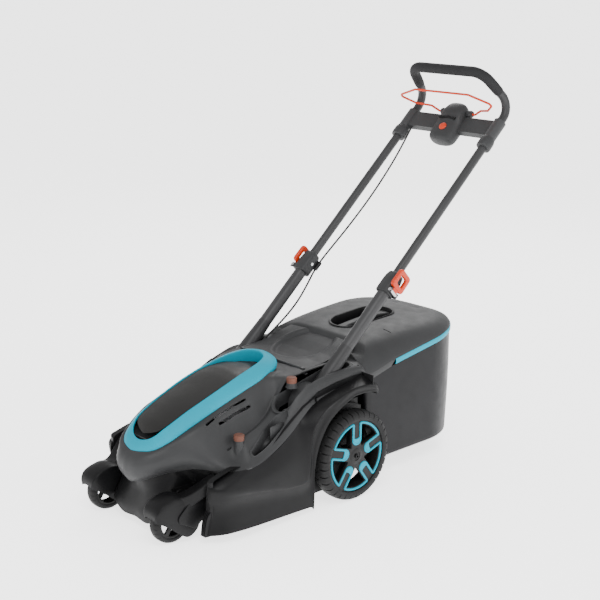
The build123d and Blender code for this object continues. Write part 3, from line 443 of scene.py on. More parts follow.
def frame_at(centre, x_dir, z_dir):
    """Placement with its origin at a millimetre point and two of its directions given."""
    z = Vector(z_dir).normalized()
    x = Vector(x_dir).normalized()
    y = z.cross(x)
    return Matrix.Translation(Vector(centre) * MM) @ Matrix((x, y, z)).transposed().to_4x4()


def merge(name, pieces):
    """Join several pieces that share a body and a finish into one."""
    bm = bmesh.new()
    for piece in pieces:
        bm.from_mesh(piece.data)
    mesh = bpy.data.meshes.new(name)
    bm.to_mesh(mesh)
    bm.free()
    mesh.materials.append(pieces[0].data.materials[0])
    first = pieces[0]
    first.data = mesh
    first.name = name
    for piece in pieces[1:]:
        bpy.data.objects.remove(piece)
    return first


def surface_tree(piece):
    """A search tree of the piece's surface, for finding heights on it."""
    bm = bmesh.new()
    bm.from_mesh(piece.data)
    tree = BVHTree.FromBMesh(bm)
    bm.free()
    return tree


def height_on(tree, x, y, default):
    """Height in millimetres of a surface under a point, or the default where there is none."""
    hit = tree.ray_cast(Vector((x * MM, y * MM, 2.0)), Vector((0, 0, -1)))[0]
    return hit.z / MM if hit else default


# ---- hood -------------------------------------------------------------------
# Left half of the ring's two edges, from the nose to the tail.
RING_OUTER = [(0, -546, 189), (36, -538, 194), (60, -520, 203), (75, -490, 218), (79, -473, 227),
              (84, -433, 244), (87, -393, 260), (90, -353, 275), (90, -313, 288), (90.5, -273, 300),
              (88, -233, 310), (82, -200, 320), (70, -165, 327), (44, -143, 332), (0, -134, 335)]
RING_INNER = [(0, -524, 209), (24, -519, 213), (41, -508, 224), (50, -492, 238), (54, -473, 248),
              (57, -433, 266), (59.5, -393, 281), (60.5, -353, 295), (60, -313, 308), (57, -273, 319),
              (53.5, -233, 329), (46, -198, 336), (33, -175, 340), (17, -165, 342), (0, -162, 343)]
RING_SIDE = np.array(RING_OUTER[:12], float)


def level(y, *points):
    """Points of one row that all lie at the same distance along the mower."""
    return [(x, y, z) for x, z in points]


def upright(x, *points):
    """Points that all lie at the same distance from the mower's middle plane."""
    return [(x, y, z) for y, z in points]


def under_ring(y):
    """The first two points of a hood row, both below the ring's outer edge."""
    x, z = (np.interp(y, RING_SIDE[:, 1], RING_SIDE[:, k]) for k in (0, 2))
    return [(x - 9, y, z - 8), (x - 1.5, y, z - 4.5)]


# Each row runs from under the teal ring outwards to the seam with the deck; the rows run from the nose back.
HOOD_ROWS = [
    [(0, -538, 184), (0, -546, 187), (0, -555, 181), (0, -562, 170), (0, -566, 157), (0, -567, 144),
     (0, -564, 131), (0, -558, 120), (0, -550, 112)],
    [(26, -534, 188), (30, -540, 191), (33, -549, 185), (35, -556, 174), (36, -560, 160), (36, -560, 147),
     (35, -556, 135), (33, -549, 126), (30, -540, 119)],
    [(51.5, -515, 195.5), (59, -519, 199), (67, -526, 196), (64, -531, 184), (67, -534, 170),
     (69, -532, 157), (70, -525, 147), (69, -514, 141), (67, -502, 136)],
    under_ring(-473) + [(88, -478, 219), (96, -481, 206), (102, -482, 192), (107, -479, 178),
                        (110, -472, 166), (112, -464, 157), (113, -458, 150)],
    under_ring(-433) + [(99, -436, 237), (111, -439, 219), (124, -441, 200), (136, -440, 183),
                        (147, -436, 169), (156, -430, 159), (163, -425, 151)],
    under_ring(-405) + [(103, -407, 246), (117, -409, 225), (132, -411, 203), (147, -411, 184),
                        (165, -408, 169), (183, -403, 160), (198, -398, 155)],
    under_ring(-378) + [(105, -379, 256), (119, -380, 234), (133, -381, 211), (147, -381, 190),
                        (164, -380, 175), (189, -378, 167), (213, -375, 160)],
    under_ring(-355) + level(-355, (105, 263), (118, 242), (131, 220), (143, 203), (160, 203), (188, 182),
                                   (211, 159)),
    under_ring(-333) + level(-333, (106, 268), (119, 247), (132, 226), (146, 211), (160, 213), (185, 187),
                                   (209.5, 162)),
    under_ring(-301) + level(-301, (105, 276), (117, 256), (129, 236), (142, 219), (155, 221), (182.5, 200),
                                   (206, 171.5)),
    under_ring(-276) + level(-276, (103, 285), (114, 266), (125, 246), (136, 228), (150, 228), (182, 211),
                                   (204, 182)),
    under_ring(-250) + level(-250, (100, 292), (110, 274), (119, 255), (129, 238), (143, 241), (180, 225.5),
                                   (201.5, 195)),
    under_ring(-230) + level(-230, (97, 298), (106, 284), (115, 268), (124, 255), (137, 256), (179, 239.5),
                                   (199.5, 207)),
    under_ring(-210) + level(-210, (94, 308), (103, 300), (111, 290), (119, 280), (131, 277), (178, 256.5),
                                   (198, 222)),
    under_ring(-192) + level(-192, (90, 311), (100, 310), (110, 308), (120, 303), (132, 298), (177, 272.5),
                                   (196, 234)),
    level(-165, (62, 311), (74, 312), (86, 312), (98, 312), (110, 312), (121, 311), (133, 309),
                (176.5, 290), (194, 252)),
    level(-142, (25, 311), (45, 312), (66, 312), (86, 313), (103, 313), (119, 313), (133, 312), (177, 298),
                (192, 260)),
    level(-124, (0, 312), (24, 312), (50, 313), (76, 313), (98, 314), (118, 314), (134, 314), (178, 301.7),
                (191, 265.5)),
    level(-79, (0, 315), (24, 315), (50, 315), (76, 315), (98, 316), (118, 316), (134, 316), (179.5, 307),
               (190, 276.5)),
    level(-35, (0, 317), (24, 317), (50, 317), (76, 317), (98, 317), (118, 317), (134, 317), (181, 309.5),
               (190, 284.5)),
    level(8, (0, 318), (24, 318), (50, 318), (76, 318), (98, 318), (118, 318), (134, 318), (182, 311.5),
             (190, 294)),
    [(0, 30, 326), (24, 30, 326), (50, 30, 326), (76, 30, 326), (98, 30, 327), (118, 30, 327),
     (136, 27, 324), (180, 22, 306), (190, 26, 282)],
]
HANDLE_X = 150.0
FLAP_HALF_WIDTH, FLAP_FRONT, FLAP_REAR = 117.0, -119.0, 56.0
POSTS = [(160, -360, 209), (140, -179, 301)]
VENTS = [(104, -412, -292), (114, -382, -286)]  # X, front end and rear end


def slot_outline(side):
    """Plan outline of the slot in the hood that the handle's foot stands in."""
    return rounded_slot(side * HANDLE_X, -237, -1, 22)


def pocket_outline(side):
    """Outline of the long recess in the hood's shoulder, narrower towards the front."""
    spine = [(190, -342), (184, -310), (177, -279), (173, -250), (173, -230)]
    widths = [6, 10, 13.5, 14, 9]
    line = smooth_line(spine, 4)
    half = smooth_line([[width] for width in widths], 4)[:, 0]
    left, right = [], []
    for i, (x, y) in enumerate(line):
        a = line[max(i - 1, 0)]
        b = line[min(i + 1, len(line) - 1)]
        t = (b - a) / np.linalg.norm(b - a)
        left.append((x + t[1] * half[i], y - t[0] * half[i]))
        right.append((x - t[1] * half[i], y + t[0] * half[i]))

    def end_cap(centre, radius, corner):
        start = atan2(corner[1] - centre[1], corner[0] - centre[0])
        return arc(centre, radius, start, pi, 14)[1:-1]

    rear = end_cap(line[-1], half[-1], left[-1])
    front = end_cap(line[0], half[0], right[0])
    points = left + rear + right[::-1] + front
    return [(side * x, y) for x, y in points]


def scaled(points, centre, scale):
    """Plan points moved towards their centre."""
    return [tuple(centre + (np.array(point) - centre) * scale) for point in points]


def cup(name, outline, tree, depth, taper, floor):
    """A recess hung from the hood: raised lip, wall and floor, for an outline drawn in plan."""
    centre = np.mean(np.array(outline), axis=0)
    tops = [height_on(tree, x, y, 300) for x, y in outline]
    steps = ((1.07, -0.6), (1.055, 1.4), (1.0, 1.8), (0.97, 0.4), (0.96, -6.0), (taper + 0.03, -depth + 4),
             (taper - 0.03, -depth))
    rings = [[(x, y, top + drop) for (x, y), top in zip(scaled(outline, centre, scale), tops)]
             for scale, drop in steps]
    if floor:
        for scale in (0.6, 0.3, 0.02):
            plan = scaled([point[:2] for point in rings[-1]], centre, scale)
            rings.append([(x, y, z) for (x, y), (_, _, z) in zip(plan, rings[-1])])
    grid_piece(name, rings, "hood_plastic", "chassis", wrap_columns=True)


def right_drop(x, y):
    """How much lower the right shoulder lies, which hides it behind the ring in the photograph."""
    return 28.0 * float(np.clip((x - 122) / 32, 0, 1)) * float(np.exp(-((y + 120) / 75.0) ** 2))


def make_hood():
    """Upper hood with its flap opening, handle slots, shoulder recesses and vents. Gives its search tree."""
    left = patch(HOOD_ROWS, 5, 5)
    left[..., 0] = np.maximum(left[..., 0], 0)
    right = np.array([[(-x, y, z - right_drop(x, y)) for x, y, z in row[::-1]] for row in left])
    hood = grid_piece("hood_shell", np.concatenate([right, left], axis=1), "hood_plastic", "chassis")
    thicken(hood, 3.2)
    tree = surface_tree(hood)
    cut(hood, tool_prism(box_outline(FLAP_HALF_WIDTH + 1, FLAP_FRONT - 2, 40), 200, 400))
    for name, side in SIDES:
        cut(hood, tool_prism(slot_outline(side), 150, 400))
        cut(hood, tool_prism(pocket_outline(side), 120, 320))
        for x, front, rear in VENTS:
            cut(hood, tool_prism(rounded_slot(side * x, front, rear, 3.0, 6), 180, 330))
        cut(hood, tool_prism(rounded_slot(side * 148, -386, -372, 1.6, 6), 150, 230))
        cut(hood, tool_prism(circle(2.6, 12, centre=(side * 177, 8)), 280, 330))
    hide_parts("hood")
    for name, side in SIDES:
        cup(f"shoulder_recess_{name}", pocket_outline(side), tree, 26, 0.8, floor=True)
        cup(f"slot_collar_{name}", slot_outline(side), tree, 30, 0.95, floor=False)
    return tree


# ---- teal ring and battery lid ----------------------------------------------
def close_half(half):
    """A closed loop from its left half, whose ends are on the middle plane."""
    return half + [(-x, y, z) for x, y, z in half[-2:0:-1]]


def make_ring():
    """The teal ring: a broad soft band, thick enough at its tail to be the lifting grip."""
    outer = smooth_line(close_half(RING_OUTER), 6, closed=True)
    inner = smooth_line(close_half(RING_INNER), 6, closed=True)
    grid = []
    for o, i in zip(outer, inner):
        width = np.linalg.norm(o - i)
        across = (o - i) / width
        up = np.array((0.0, 0.0, 1.0))
        depth = np.interp(i[1], [-546, -500, -300, -200, -134], [6, 6, 15, 27, 27])
        section = [(0.2, -depth), (0, -6), (0.3, -1.2), (2.4, 1.2), (width * 0.3, 2.4), (width * 0.62, 2.6),
                   (width - 4.5, 1.0), (width - 1.2, -1.4), (width, -4), (width - 0.6, -9),
                   (width - 4, -min(13, depth + 2)), (4, -depth - 1)]
        fine = smooth_line(section, 3, closed=True)
        grid.append([i + across * u + up * v for u, v in fine])
    ring = grid_piece("ring_band", grid, "teal_plastic", "chassis", wrap_rows=True, wrap_columns=True)
    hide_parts("hood_ring")


def make_lid():
    """Domed battery lid inside the ring, with a shallow finger dish at its rear, and the well behind it."""
    inner = smooth_line(RING_INNER, 12)
    order = np.argsort(inner[:, 1])
    ys, xs, zs = inner[order, 1], inner[order, 0], inner[order, 2]
    front, rear = -511.0, -193.0
    front_round, rear_round = 18.0, 42.0
    grid = []
    for t in np.linspace(0, 1, 61):
        y = front + (rear - front) * (0.5 - 0.5 * cos(pi * t))
        fade = sqrt(max(0.0, 1 - max(0.0, (y - rear + rear_round) / rear_round) ** 2))
        fade *= sqrt(max(0.0, 1 - max(0.0, (front + front_round - y) / front_round) ** 2))
        gap = np.interp(y, [front, -460], [9, 1.5])
        half = max(0.15, (np.interp(y - gap, ys, xs) - 2.2) * fade)
        sink = np.interp(y, [-300, -273, -233, -200], [1.5, 3, 11, 20])
        base = np.interp(y, ys, zs) - sink
        row = []
        for u in np.linspace(-1, 1, 33):
            crown = 6.0 * (1 - u * u) * min(1.0, half / 40)
            dish = 2.2 * np.exp(-((y + 226) / 16.0) ** 2 - (u * half / 20.0) ** 2)
            row.append((u * half, y, base + crown - dish))
        grid.append(row)
    lid = grid_piece("lid_shell", grid, "lid_plastic", "battery_lid_body")
    thicken(lid, 4.0)
    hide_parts("battery_lid")
    shelf = [[(u * w, y, 308 + 0.08 * (y + 200)) for u in np.linspace(-1, 1, 9)]
             for y, w in zip(np.linspace(-214, -150, 12), np.linspace(52, 36, 12))]
    well = grid_piece("ring_well", shelf, "deck_plastic", "chassis")
    thicken(well, 2.5)
    cut(well, tool_prism(box_outline(27, -185, -165), 250, 350))


# ---- deck -------------------------------------------------------------------
# Each row runs from the seam under the hood down to the skirt's edge or the wheel arch.
NOSE_ROWS = [
    [(0, -540, 113), (0, -534, 104), (0, -530, 94), (0, -529, 84), (0, -531, 72), (0, -535, 56), (0, -539, 38),
     (0, -539, 21)],
    [(33, -531, 120), (37, -527, 110), (40, -526, 99), (42, -527, 88), (44, -530, 74), (46, -535, 56),
     (48, -540, 38), (50, -541, 20)],
    [(70, -494, 138), (76, -495, 124), (80, -500, 112), (83, -507, 100), (86, -514, 86), (88, -522, 70),
     (89, -530, 56), (90, -535, 44)],
    [(84, -484, 142), (86, -478, 130), (88, -474, 116), (89, -474, 100), (90, -478, 86), (90, -486, 70),
     (90, -494, 56), (90, -500, 42)],
    [(100, -466, 147), (98, -452, 134), (95, -443, 118), (93, -438, 100), (92, -436, 84), (92, -436, 68),
     (92, -436, 52), (92, -436, 36)],
    [(140, -438, 149), (138, -432, 134), (136, -430, 116), (135, -430, 100), (135, -430, 84), (135, -430, 68),
     (135, -430, 52), (135, -430, 36)],
    [(172, -424, 151), (174, -430, 136), (175, -433, 118), (176, -436, 100), (176, -440, 84), (176, -444, 68),
     (176, -448, 52), (176, -452, 34)],
    [(180, -421, 152), (183, -440, 147), (184, -460, 141), (184, -474, 129), (184, -476, 106), (184, -472, 80),
     (184, -478, 50), (184, -485, 20)],
]
SIDE_ROWS = [
    [(180, -421, 152), (183, -440, 147), (184, -460, 141), (184, -474, 129), (184, -476, 106),
     (184, -472, 80), (184, -478, 50), (184, -485, 20)],
    [(188, -415, 154), (194, -437, 148), (199, -456, 140), (202, -469, 128), (200, -468, 105),
     (197, -462, 80), (199, -466, 50), (202, -474, 22)],
    [(198, -405, 156), (206, -424, 148), (213, -440, 137), (217, -449, 124), (214, -447, 104),
     (209, -441, 79), (213, -445, 50), (219, -450, 24)],
    [(209, -385, 159), (216, -396, 148), (222, -408, 133), (226, -412, 117), (222, -410, 104),
     (216, -408, 80), (221, -410, 50), (227, -412, 24)],
    [(214, -355, 160), (219, -358, 146), (225, -360, 128), (228, -360, 108), (224, -360, 98),
     (218, -360, 76), (223, -360, 47), (229, -360, 22)],
    level(-301, (214, 176), (220, 158), (226, 132), (229, 98), (225, 88), (220, 68), (224, 43), (229, 20)),
    [(214, -262, 198), (220, -260, 174), (226, -256, 138), (229, -252, 90), (226, -250, 80),
     (222, -248, 60), (225, -246, 39), (229, -244, 18)],
    [(214, -230, 220), (220, -226, 190), (226, -220, 145), (229, -210, 95), (227, -206, 80),
     (224, -203, 60), (226, -200, 39), (229, -196, 16)],
    [(214, -212, 236), (221, -208, 210), (227, -202, 176), (229, -197, 140), (226, -194, 110),
     (226, -191, 80), (228, -188, 48), (230, -186, 15)],
    [(214, -200, 247), (221, -197, 232), (226, -194, 214), (229, -191, 195), (225, -189, 176),
     (226, -187, 155), (229, -186, 134), (230, -185, 112)],
    [(214, -185, 256), (221, -183, 247), (226, -181, 235), (229, -179, 222), (225, -177, 208),
     (226, -175, 193), (229, -174, 178), (230, -173, 162)],
    [(214, -165, 266), (221, -164, 260), (226, -162, 251), (229, -160, 241), (225, -158, 231),
     (226, -157, 219), (229, -156, 208), (230, -155, 196)],
    [(214, -140, 276), (221, -140, 271), (226, -139, 264), (229, -138, 256), (226, -138, 247),
     (227, -137, 238), (229, -136, 229), (230, -136, 220)],
    level(-100, (214, 285), (221, 281), (226, 276), (229, 270), (228, 263), (229, 257), (229, 251),
          (230, 244)),
    level(-50, (214, 293), (221, 290), (226, 286), (229, 282), (229, 277), (229, 272), (229, 268),
          (230, 263)),
    level(11, (190, 292), (203, 287), (216, 282), (226, 277), (228, 272), (229, 268), (229, 264),
          (230, 260)),
    [(190, 24, 290), (200, 26, 283), (212, 29, 275), (222, 31, 266), (226, 31, 260), (228, 30, 256),
     (229, 28, 252), (230, 26, 250)],
]
# Where the tops of the side rows meet the hood: X and Z for each distance along the mower.
SEAM = {-355: (211, 158), -301: (206, 170), -262: (203, 187), -230: (199.5, 206), -212: (198, 219.5),
        -200: (197, 227), -185: (195.5, 238), -165: (194, 251), -140: (192, 260), -100: (190.5, 271),
        -50: (190, 280.5), 11: (190, 292)}
# The share of a row's lean that each of its points takes, from the top down.
LEAN_SHARES = (1, 0.72, 0.4, 0.12, 0, 0, 0, 0)


SIDE_STEPS = 6
ARCH_ROWS = 7  # the last rows of the side, whose lower ends follow the wheel


def leaning_rows():
    """The side rows, leaning so that their tops meet the seam."""
    rows = []
    for row in SIDE_ROWS:
        top_x, y, top_z = row[0]
        seam_x, seam_z = SEAM.get(y, (top_x, top_z))
        rows.append([(x + (seam_x - top_x) * share, y, z + (seam_z - top_z) * share)
                     for (x, y, z), share in zip(row, LEAN_SHARES)])
    return rows


def make_deck():
    """The outer skirt of the deck, its wheel arches, and the inner deck kept from the CAD."""
    skirts = [grid_piece("deck_nose", patch(NOSE_ROWS, 5, 4), "deck_plastic", "chassis", mirror=True)]
    side_grid = patch(leaning_rows(), SIDE_STEPS, 5)
    for name, side in SIDES:
        skirts.append(grid_piece(f"deck_side_{name}", side_grid * (side, 1, 1), "deck_plastic", "chassis"))
    for skirt in skirts:
        thicken(skirt, 3.0)
    for name, side in SIDES:
        comb = []
        for k in range(4):
            root = -462 - (5 * k) % 3
            path = upright(side * (177 + 4.6 * k), (root, 74), (-474, 62), (-479, 42), (-482, 18))
            tooth = rounded_box_section(1.3, -9, 6, 1.2, 2)
            comb.append(sweep(f"comb_{name}_{k}", smooth_line(path, 4), tooth, "deck_plastic", "chassis",
                              ups=(0, -1, 0)))
        merge(f"deck_comb_{name}", comb)
        arch = side_grid[-1 - SIDE_STEPS * ARCH_ROWS:, -1]
        well = [[(side * x, y, z - 0.4) for x in (229, 220, 205, 188)] for _, y, z in arch]
        wall = grid_piece(f"wheel_arch_{name}", well, "deck_plastic", "chassis")
        thicken(wall, 2.0)
        rear = [[(side * x, 10.5, z) for x in (188, 208, 228)] for z in (273, 286, 299)]
        thicken(grid_piece(f"deck_rear_edge_{name}", rear, "deck_plastic", "chassis"), 2.0)
    source = frame["nodes"]["lower_deck"]
    inner = bpy.data.objects.new("deck_inner", source.data.copy())
    bpy.context.collection.objects.link(inner)
    shape_with(inner, "INTERSECT", tool_prism(box_outline(196, -498, 11.4), -5, 296))
    dress(inner, "deck_plastic", "chassis")
    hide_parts("lower_deck")


# ---- front arms and wheels ---------------------------------------------------
FRONT_MID_X = 122.5
REAR_MID_X = 223
HUB_FACE_X = 240.5
SPOKES = 5
SPOKE_TURN = 2 * pi / SPOKES


def make_front_arm(name, side):
    """Visor over the front wheel, and the rib that carries it back over the deck's shoulder."""
    tops = [(-589, 74), (-588, 85), (-582, 97), (-570, 107), (-552, 113.5), (-531, 115.5), (-507, 109),
            (-488, 96), (-476, 76), (-472, 54), (-474, 38)]
    lows = [(-588, 68), (-584, 66), (-575, 62), (-565, 56), (-552, 46), (-537, 33), (-520, 20), (-506, 13),
            (-493, 15), (-480, 24), (-474, 33)]
    widths = [0.62, 0.8, 0.93, 0.99, 1, 1, 1, 1, 1, 1, 1]
    grid = []
    for (ty, tz), (by, bz), wide in zip(tops, lows, widths):
        row = []
        for x, drop, share in ((-28, 0, 1.0), (-28.5, 0, 0.5), (-27, 9, 0), (-21, 3, 0), (-8, 0.5, 0),
                               (8, 0, 0), (22, 3, 0), (29, 9, 0), (31, 0, 0.5), (31.5, 0, 1.0)):
            rise = 0.35 + 0.65 * min(1.0, (ty + 590) / 30)
            y = ty + (by - ty) * share
            z = tz - drop * rise + (bz - tz) * share
            row.append((side * (FRONT_MID_X + x * wide), y, z))
        grid.append(row)
    visor = grid_piece(f"front_fender_{name}", patch(grid, 5, 4), "deck_plastic", "front_arms")
    thicken(visor, 3.0)
    path = smooth_line([(side * 133, -522, 107), (side * 140, -500, 109), (side * 150, -474, 122),
                        (side * 161, -452, 137), (side * 168, -438, 143)], 5)
    sweep(f"front_arm_rib_{name}", path, lambda t: rounded_box_section(16 + 2 * t, -26 + 8 * t, 3, 2.5),
          "deck_plastic", "front_arms")
    shaft = Vector(joints["front_height"]["pos_m"]) / MM
    plates = []
    for x, thick in ((152.5, 9), (100, 5)):
        outline = []
        for centre, radius, start, end in ((shaft.yz, 13, -60, 70), ((-486, 92), 13, 60, 150),
                                           ((-520, 62), 13, 120, 260), ((-487, 40), 10, 250, 310)):
            outline += arc(centre, radius, radians(start), radians(end - start), 8)
        place = frame_at((side * x, 0, 0), (0, 1, 0), (1, 0, 0))
        plates.append(plate(f"arm_plate_{name}_{x}", [outline], place, thick, 1.2, "deck_plastic",
                            "front_arms"))
    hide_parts(f"front_arm_{name}")
    merge(f"front_arm_plates_{name}", plates)


def axle_point(side, x, axle):
    """The point where a wheel's axle, given by its joint's place, crosses the plane at an X."""
    return Vector((side * x, axle[1] / MM, axle[2] / MM))


def wheel_place(side, x, axle):
    """Placement of a plate that faces outwards across a wheel's axle."""
    return frame_at(axle_point(side, x, axle), (0, 1, 0), (1, 0, 0))


def both_ways(half):
    """A tyre's profile from its one half."""
    return half + [(-x, radius) for x, radius in half[::-1]]


def tyre_grid(side, axle, mid_x, profile, blocks, depth, plain=6.0):
    """Tyre with staggered tread blocks: profile is (across, radius), from one bead to the other."""
    grid = []
    pitch = 2 * pi / blocks
    for step in range(2 * blocks):
        groove_side = 1 if step % 2 == 0 else -1
        for share, low in ((0.0, False), (0.33, False), (0.36, True), (0.47, True)):
            angle = (step / 2 + share) * pitch
            ring = []
            for x, radius in profile:
                grooved = low and x * groove_side > plain and radius > profile[0][1] + 4
                r = radius - (depth if grooved else 0)
                ring.append(axle_point(side, mid_x, axle) + Vector((x, r * cos(angle), r * sin(angle))))
            grid.append(ring)
    return grid


def spoke_openings(inner, outer, clear):
    """Openings between spokes: bounded by two arcs and the sides of two spokes."""
    loops = []
    edge, near = asin(clear / outer), asin(clear / inner)
    for k in range(SPOKES):
        a = pi / 2 + k * SPOKE_TURN
        loop = arc((0, 0), outer, a + edge, SPOKE_TURN - 2 * edge, 11)
        loop += arc((0, 0), inner, a + SPOKE_TURN - near, 2 * near - SPOKE_TURN, 6)
        loops.append(round_corners(loop, 4.0))
    return loops


def round_corners(loop, radius):
    """Replace the corners of a closed outline that turn by 25 degrees or more by short curves."""
    out = []
    count = len(loop)
    for i in range(count):
        a, b, c = (Vector(loop[j % count]) for j in (i - 1, i, i + 1))
        u, v = (a - b), (c - b)
        if u.length < 1e-6 or v.length < 1e-6:
            continue
        if degrees(pi - u.angle(v)) < 25.0:
            out.append(tuple(b))
            continue
        reach = min(radius, 0.45 * min(u.length, v.length))
        p, q = b + u.normalized() * reach, b + v.normalized() * reach
        for t in np.linspace(0, 1, 6):
            out.append(tuple(p * (1 - t) ** 2 + b * 2 * t * (1 - t) + q * t ** 2))
    return out


def spoke_axes(k):
    """Directions along and across a spoke, in the wheel's plane."""
    a = pi / 2 + k * SPOKE_TURN
    return Vector((cos(a), sin(a))), Vector((-sin(a), cos(a)))


def trim_loop(outer, inner, half):
    """Teal outline: along the rim between spokes, and down and back up the sides of each spoke."""
    points = []
    edge = asin(half / outer)
    for k in range(SPOKES):
        u, v = spoke_axes(k)
        points.append(tuple(u * outer * cos(edge) - v * half))
        for t in np.linspace(0, pi, 11):
            points.append(tuple(u * (inner - half * 0.9 * sin(t)) - v * half * cos(t)))
        points.append(tuple(u * outer * cos(edge) + v * half))
        points += arc((0, 0), outer, pi / 2 + k * SPOKE_TURN + edge, SPOKE_TURN - 2 * edge, 13)[1:-1]
    return round_corners(points, 6.0)


def wire_loop(name, loop, place, radius, slot, body):
    """A closed bead that follows a plane outline."""
    piece = sweep(name, [(u, v, 0) for u, v in loop], circle(radius, 10), slot, body, closed=True)
    piece.data.transform(place)
    return piece


def make_rear_wheel(name, side):
    """Treaded tyre, dished hub with five spokes, teal trim line and finger ends, and the hub's bolt."""
    axle = joints[f"rear_wheel_{name}_spin"]["pos_m"]
    body = f"rear_wheel_{name}"
    profile = both_ways([(-21, 90), (-23, 93), (-23, 99), (-22, 105), (-19, 109.3), (-13, 111.6), (-6.5, 112.3),
                         (-3, 112.4)])
    tyre = grid_piece(f"tread_{name}", tyre_grid(side, axle, REAR_MID_X, profile, 34, 3.6), "tyre", body,
                      wrap_rows=True, wrap_columns=True)
    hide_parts(f"rear_tyre_{name}")
    rim_edge = circle(91.5, 96)
    hub = plate(f"hub_face_{name}", [rim_edge] + spoke_openings(30, 79, 16.5),
                wheel_place(side, HUB_FACE_X - 3, axle), 8, 1.6, "hub_plastic", body)
    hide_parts(f"rear_hub_{name}", f"hub_cap_{name}")
    plate(f"hub_back_{name}", [rim_edge, circle(80, 72)], wheel_place(side, 222, axle), 38, 1.5,
          "hub_plastic", body)
    ribs = []
    for k in range(SPOKES):
        u = Vector((0, *spoke_axes(k)[0]))
        ribs.append(sweep(f"rib_{name}_{k}", [axle_point(side, 224, axle) + u * r for r in (16, 40, 60, 80)],
                          rounded_box_section(5, -13, 13, 2, 2), "hub_plastic", body, ups=(1, 0, 0)))
    merge(f"hub_ribs_{name}", ribs)
    lathe(f"hub_barrel_{name}", [(7.2, -22), (18, -22), (19, -20), (19, 12), (24, 15), (24, 17)],
          axle_point(side, REAR_MID_X, axle), (side, 0, 0), "hub_plastic", body)
    face = wheel_place(side, HUB_FACE_X + 1.2, axle)
    bead = wire_loop(f"trim_line_{name}", trim_loop(84, 42, 12.0), face, 3.0, "teal_plastic", body)
    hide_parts(f"wheel_trim_{name}")
    tips = []
    for k in range(SPOKES):
        u, v = spoke_axes(k)
        outline = [tuple(u * (42 - 10.8 * sin(t)) - v * 12.0 * cos(t)) for t in np.linspace(0, pi, 13)]
        outline += [tuple(u * (50 - 5 * sin(t)) + v * 11.0 * cos(t)) for t in np.linspace(0, pi, 9)]
        tips.append(plate(f"tip_{name}_{k}", [outline], face, 3.4, 0.8, "teal_plastic", body))
    merge(f"trim_tips_{name}", tips)
    lathe(f"hub_boss_{name}", [(22, 0), (20, 1.6), (13, 2.4), (11.5, 2.6), (10.5, 0.8), (7, 0.5), (0, 0.5)],
          axle_point(side, HUB_FACE_X, axle), (side, 0, 0), "hub_plastic", body)
    plate(f"hub_bolt_{name}", [circle(6.2, 6), circle(2.8, 12)], wheel_place(side, HUB_FACE_X + 3, axle),
          5, 0.7, "deck_plastic", body)


def make_front_wheel(name, side):
    """Small treaded tyre on a spoked hub."""
    axle = joints[f"front_wheel_{name}_spin"]["pos_m"]
    body = f"front_wheel_{name}"
    profile = both_ways([(-13, 39), (-14.4, 41), (-14.5, 45), (-12.5, 48.5), (-8, 50.4), (-3, 50.9)])
    tyre = grid_piece(f"front_tread_{name}", tyre_grid(side, axle, FRONT_MID_X, profile, 26, 0.8, 4), "tyre",
                      body, wrap_rows=True, wrap_columns=True)
    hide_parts(f"front_tyre_{name}")
    hub = plate(f"front_hub_face_{name}", [circle(39.5, 60)] + spoke_openings(14, 33, 5.5),
                wheel_place(side, FRONT_MID_X + 9, axle), 6, 1.2, "hub_plastic", body)
    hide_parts(f"front_hub_{name}")
    plate(f"front_rim_{name}", [circle(39.5, 60), circle(34, 48)],
          wheel_place(side, FRONT_MID_X, axle), 25, 1.2, "hub_plastic", body)
    lathe(f"front_hub_barrel_{name}", [(4.3, -14), (9, -14), (10, -12), (10, 11), (8.5, 14), (4.3, 14)],
          axle_point(side, FRONT_MID_X, axle), (side, 0, 0), "hub_plastic", body)


# ---- rest posts, flap and bag -------------------------------------------------
def make_posts(tree):
    """Dark flared posts with soft caps."""
    for k, (x, y, z) in enumerate(POSTS):
        low = min(height_on(tree, x + dx, y + dy, z - 20) for dx in (-9, 0, 9) for dy in (-9, 0, 9))
        post = lathe(f"post_{k}", [(15, low - z - 3), (13, low - z + 3), (11.4, low - z + 12), (10.8, -6),
                                   (10.6, -1), (9, 0), (2, 0)],
                     (x, y, z), (0, 0, 1), "hood_plastic", "chassis", smooth=3)
        cap = lathe(f"cap_{k}", [(9.5, -0.5), (12.2, 0.3), (12.5, 2), (12.5, 10.5), (12.1, 12.4), (10.8, 13.6),
                                 (8, 13.9), (7.4, 13.3), (0, 13.3)],
                    (x, y, z), (0, 0, 1), "cap_rubber", "chassis")
        if k == 0:
            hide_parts("rest_posts")
            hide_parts("rest_caps")


def flap_height(x, y):
    """Top of the rear flap: nearly level, swept up at the rear, with an oval dish pressed in."""
    base = np.interp(y, [FLAP_FRONT, -60, -20, 20, FLAP_REAR], [318, 321, 328, 339, 347])
    r = sqrt((x / 72.0) ** 2 + ((y + 5) / 86.0) ** 2)
    press = np.clip((1.03 - r) / 0.13, 0, 1)
    rim = np.exp(-((r - 1.08) / 0.05) ** 2)
    return base - 8.0 * press * press * (3 - 2 * press) + 1.0 * rim - 0.00012 * abs(x) ** 2.2


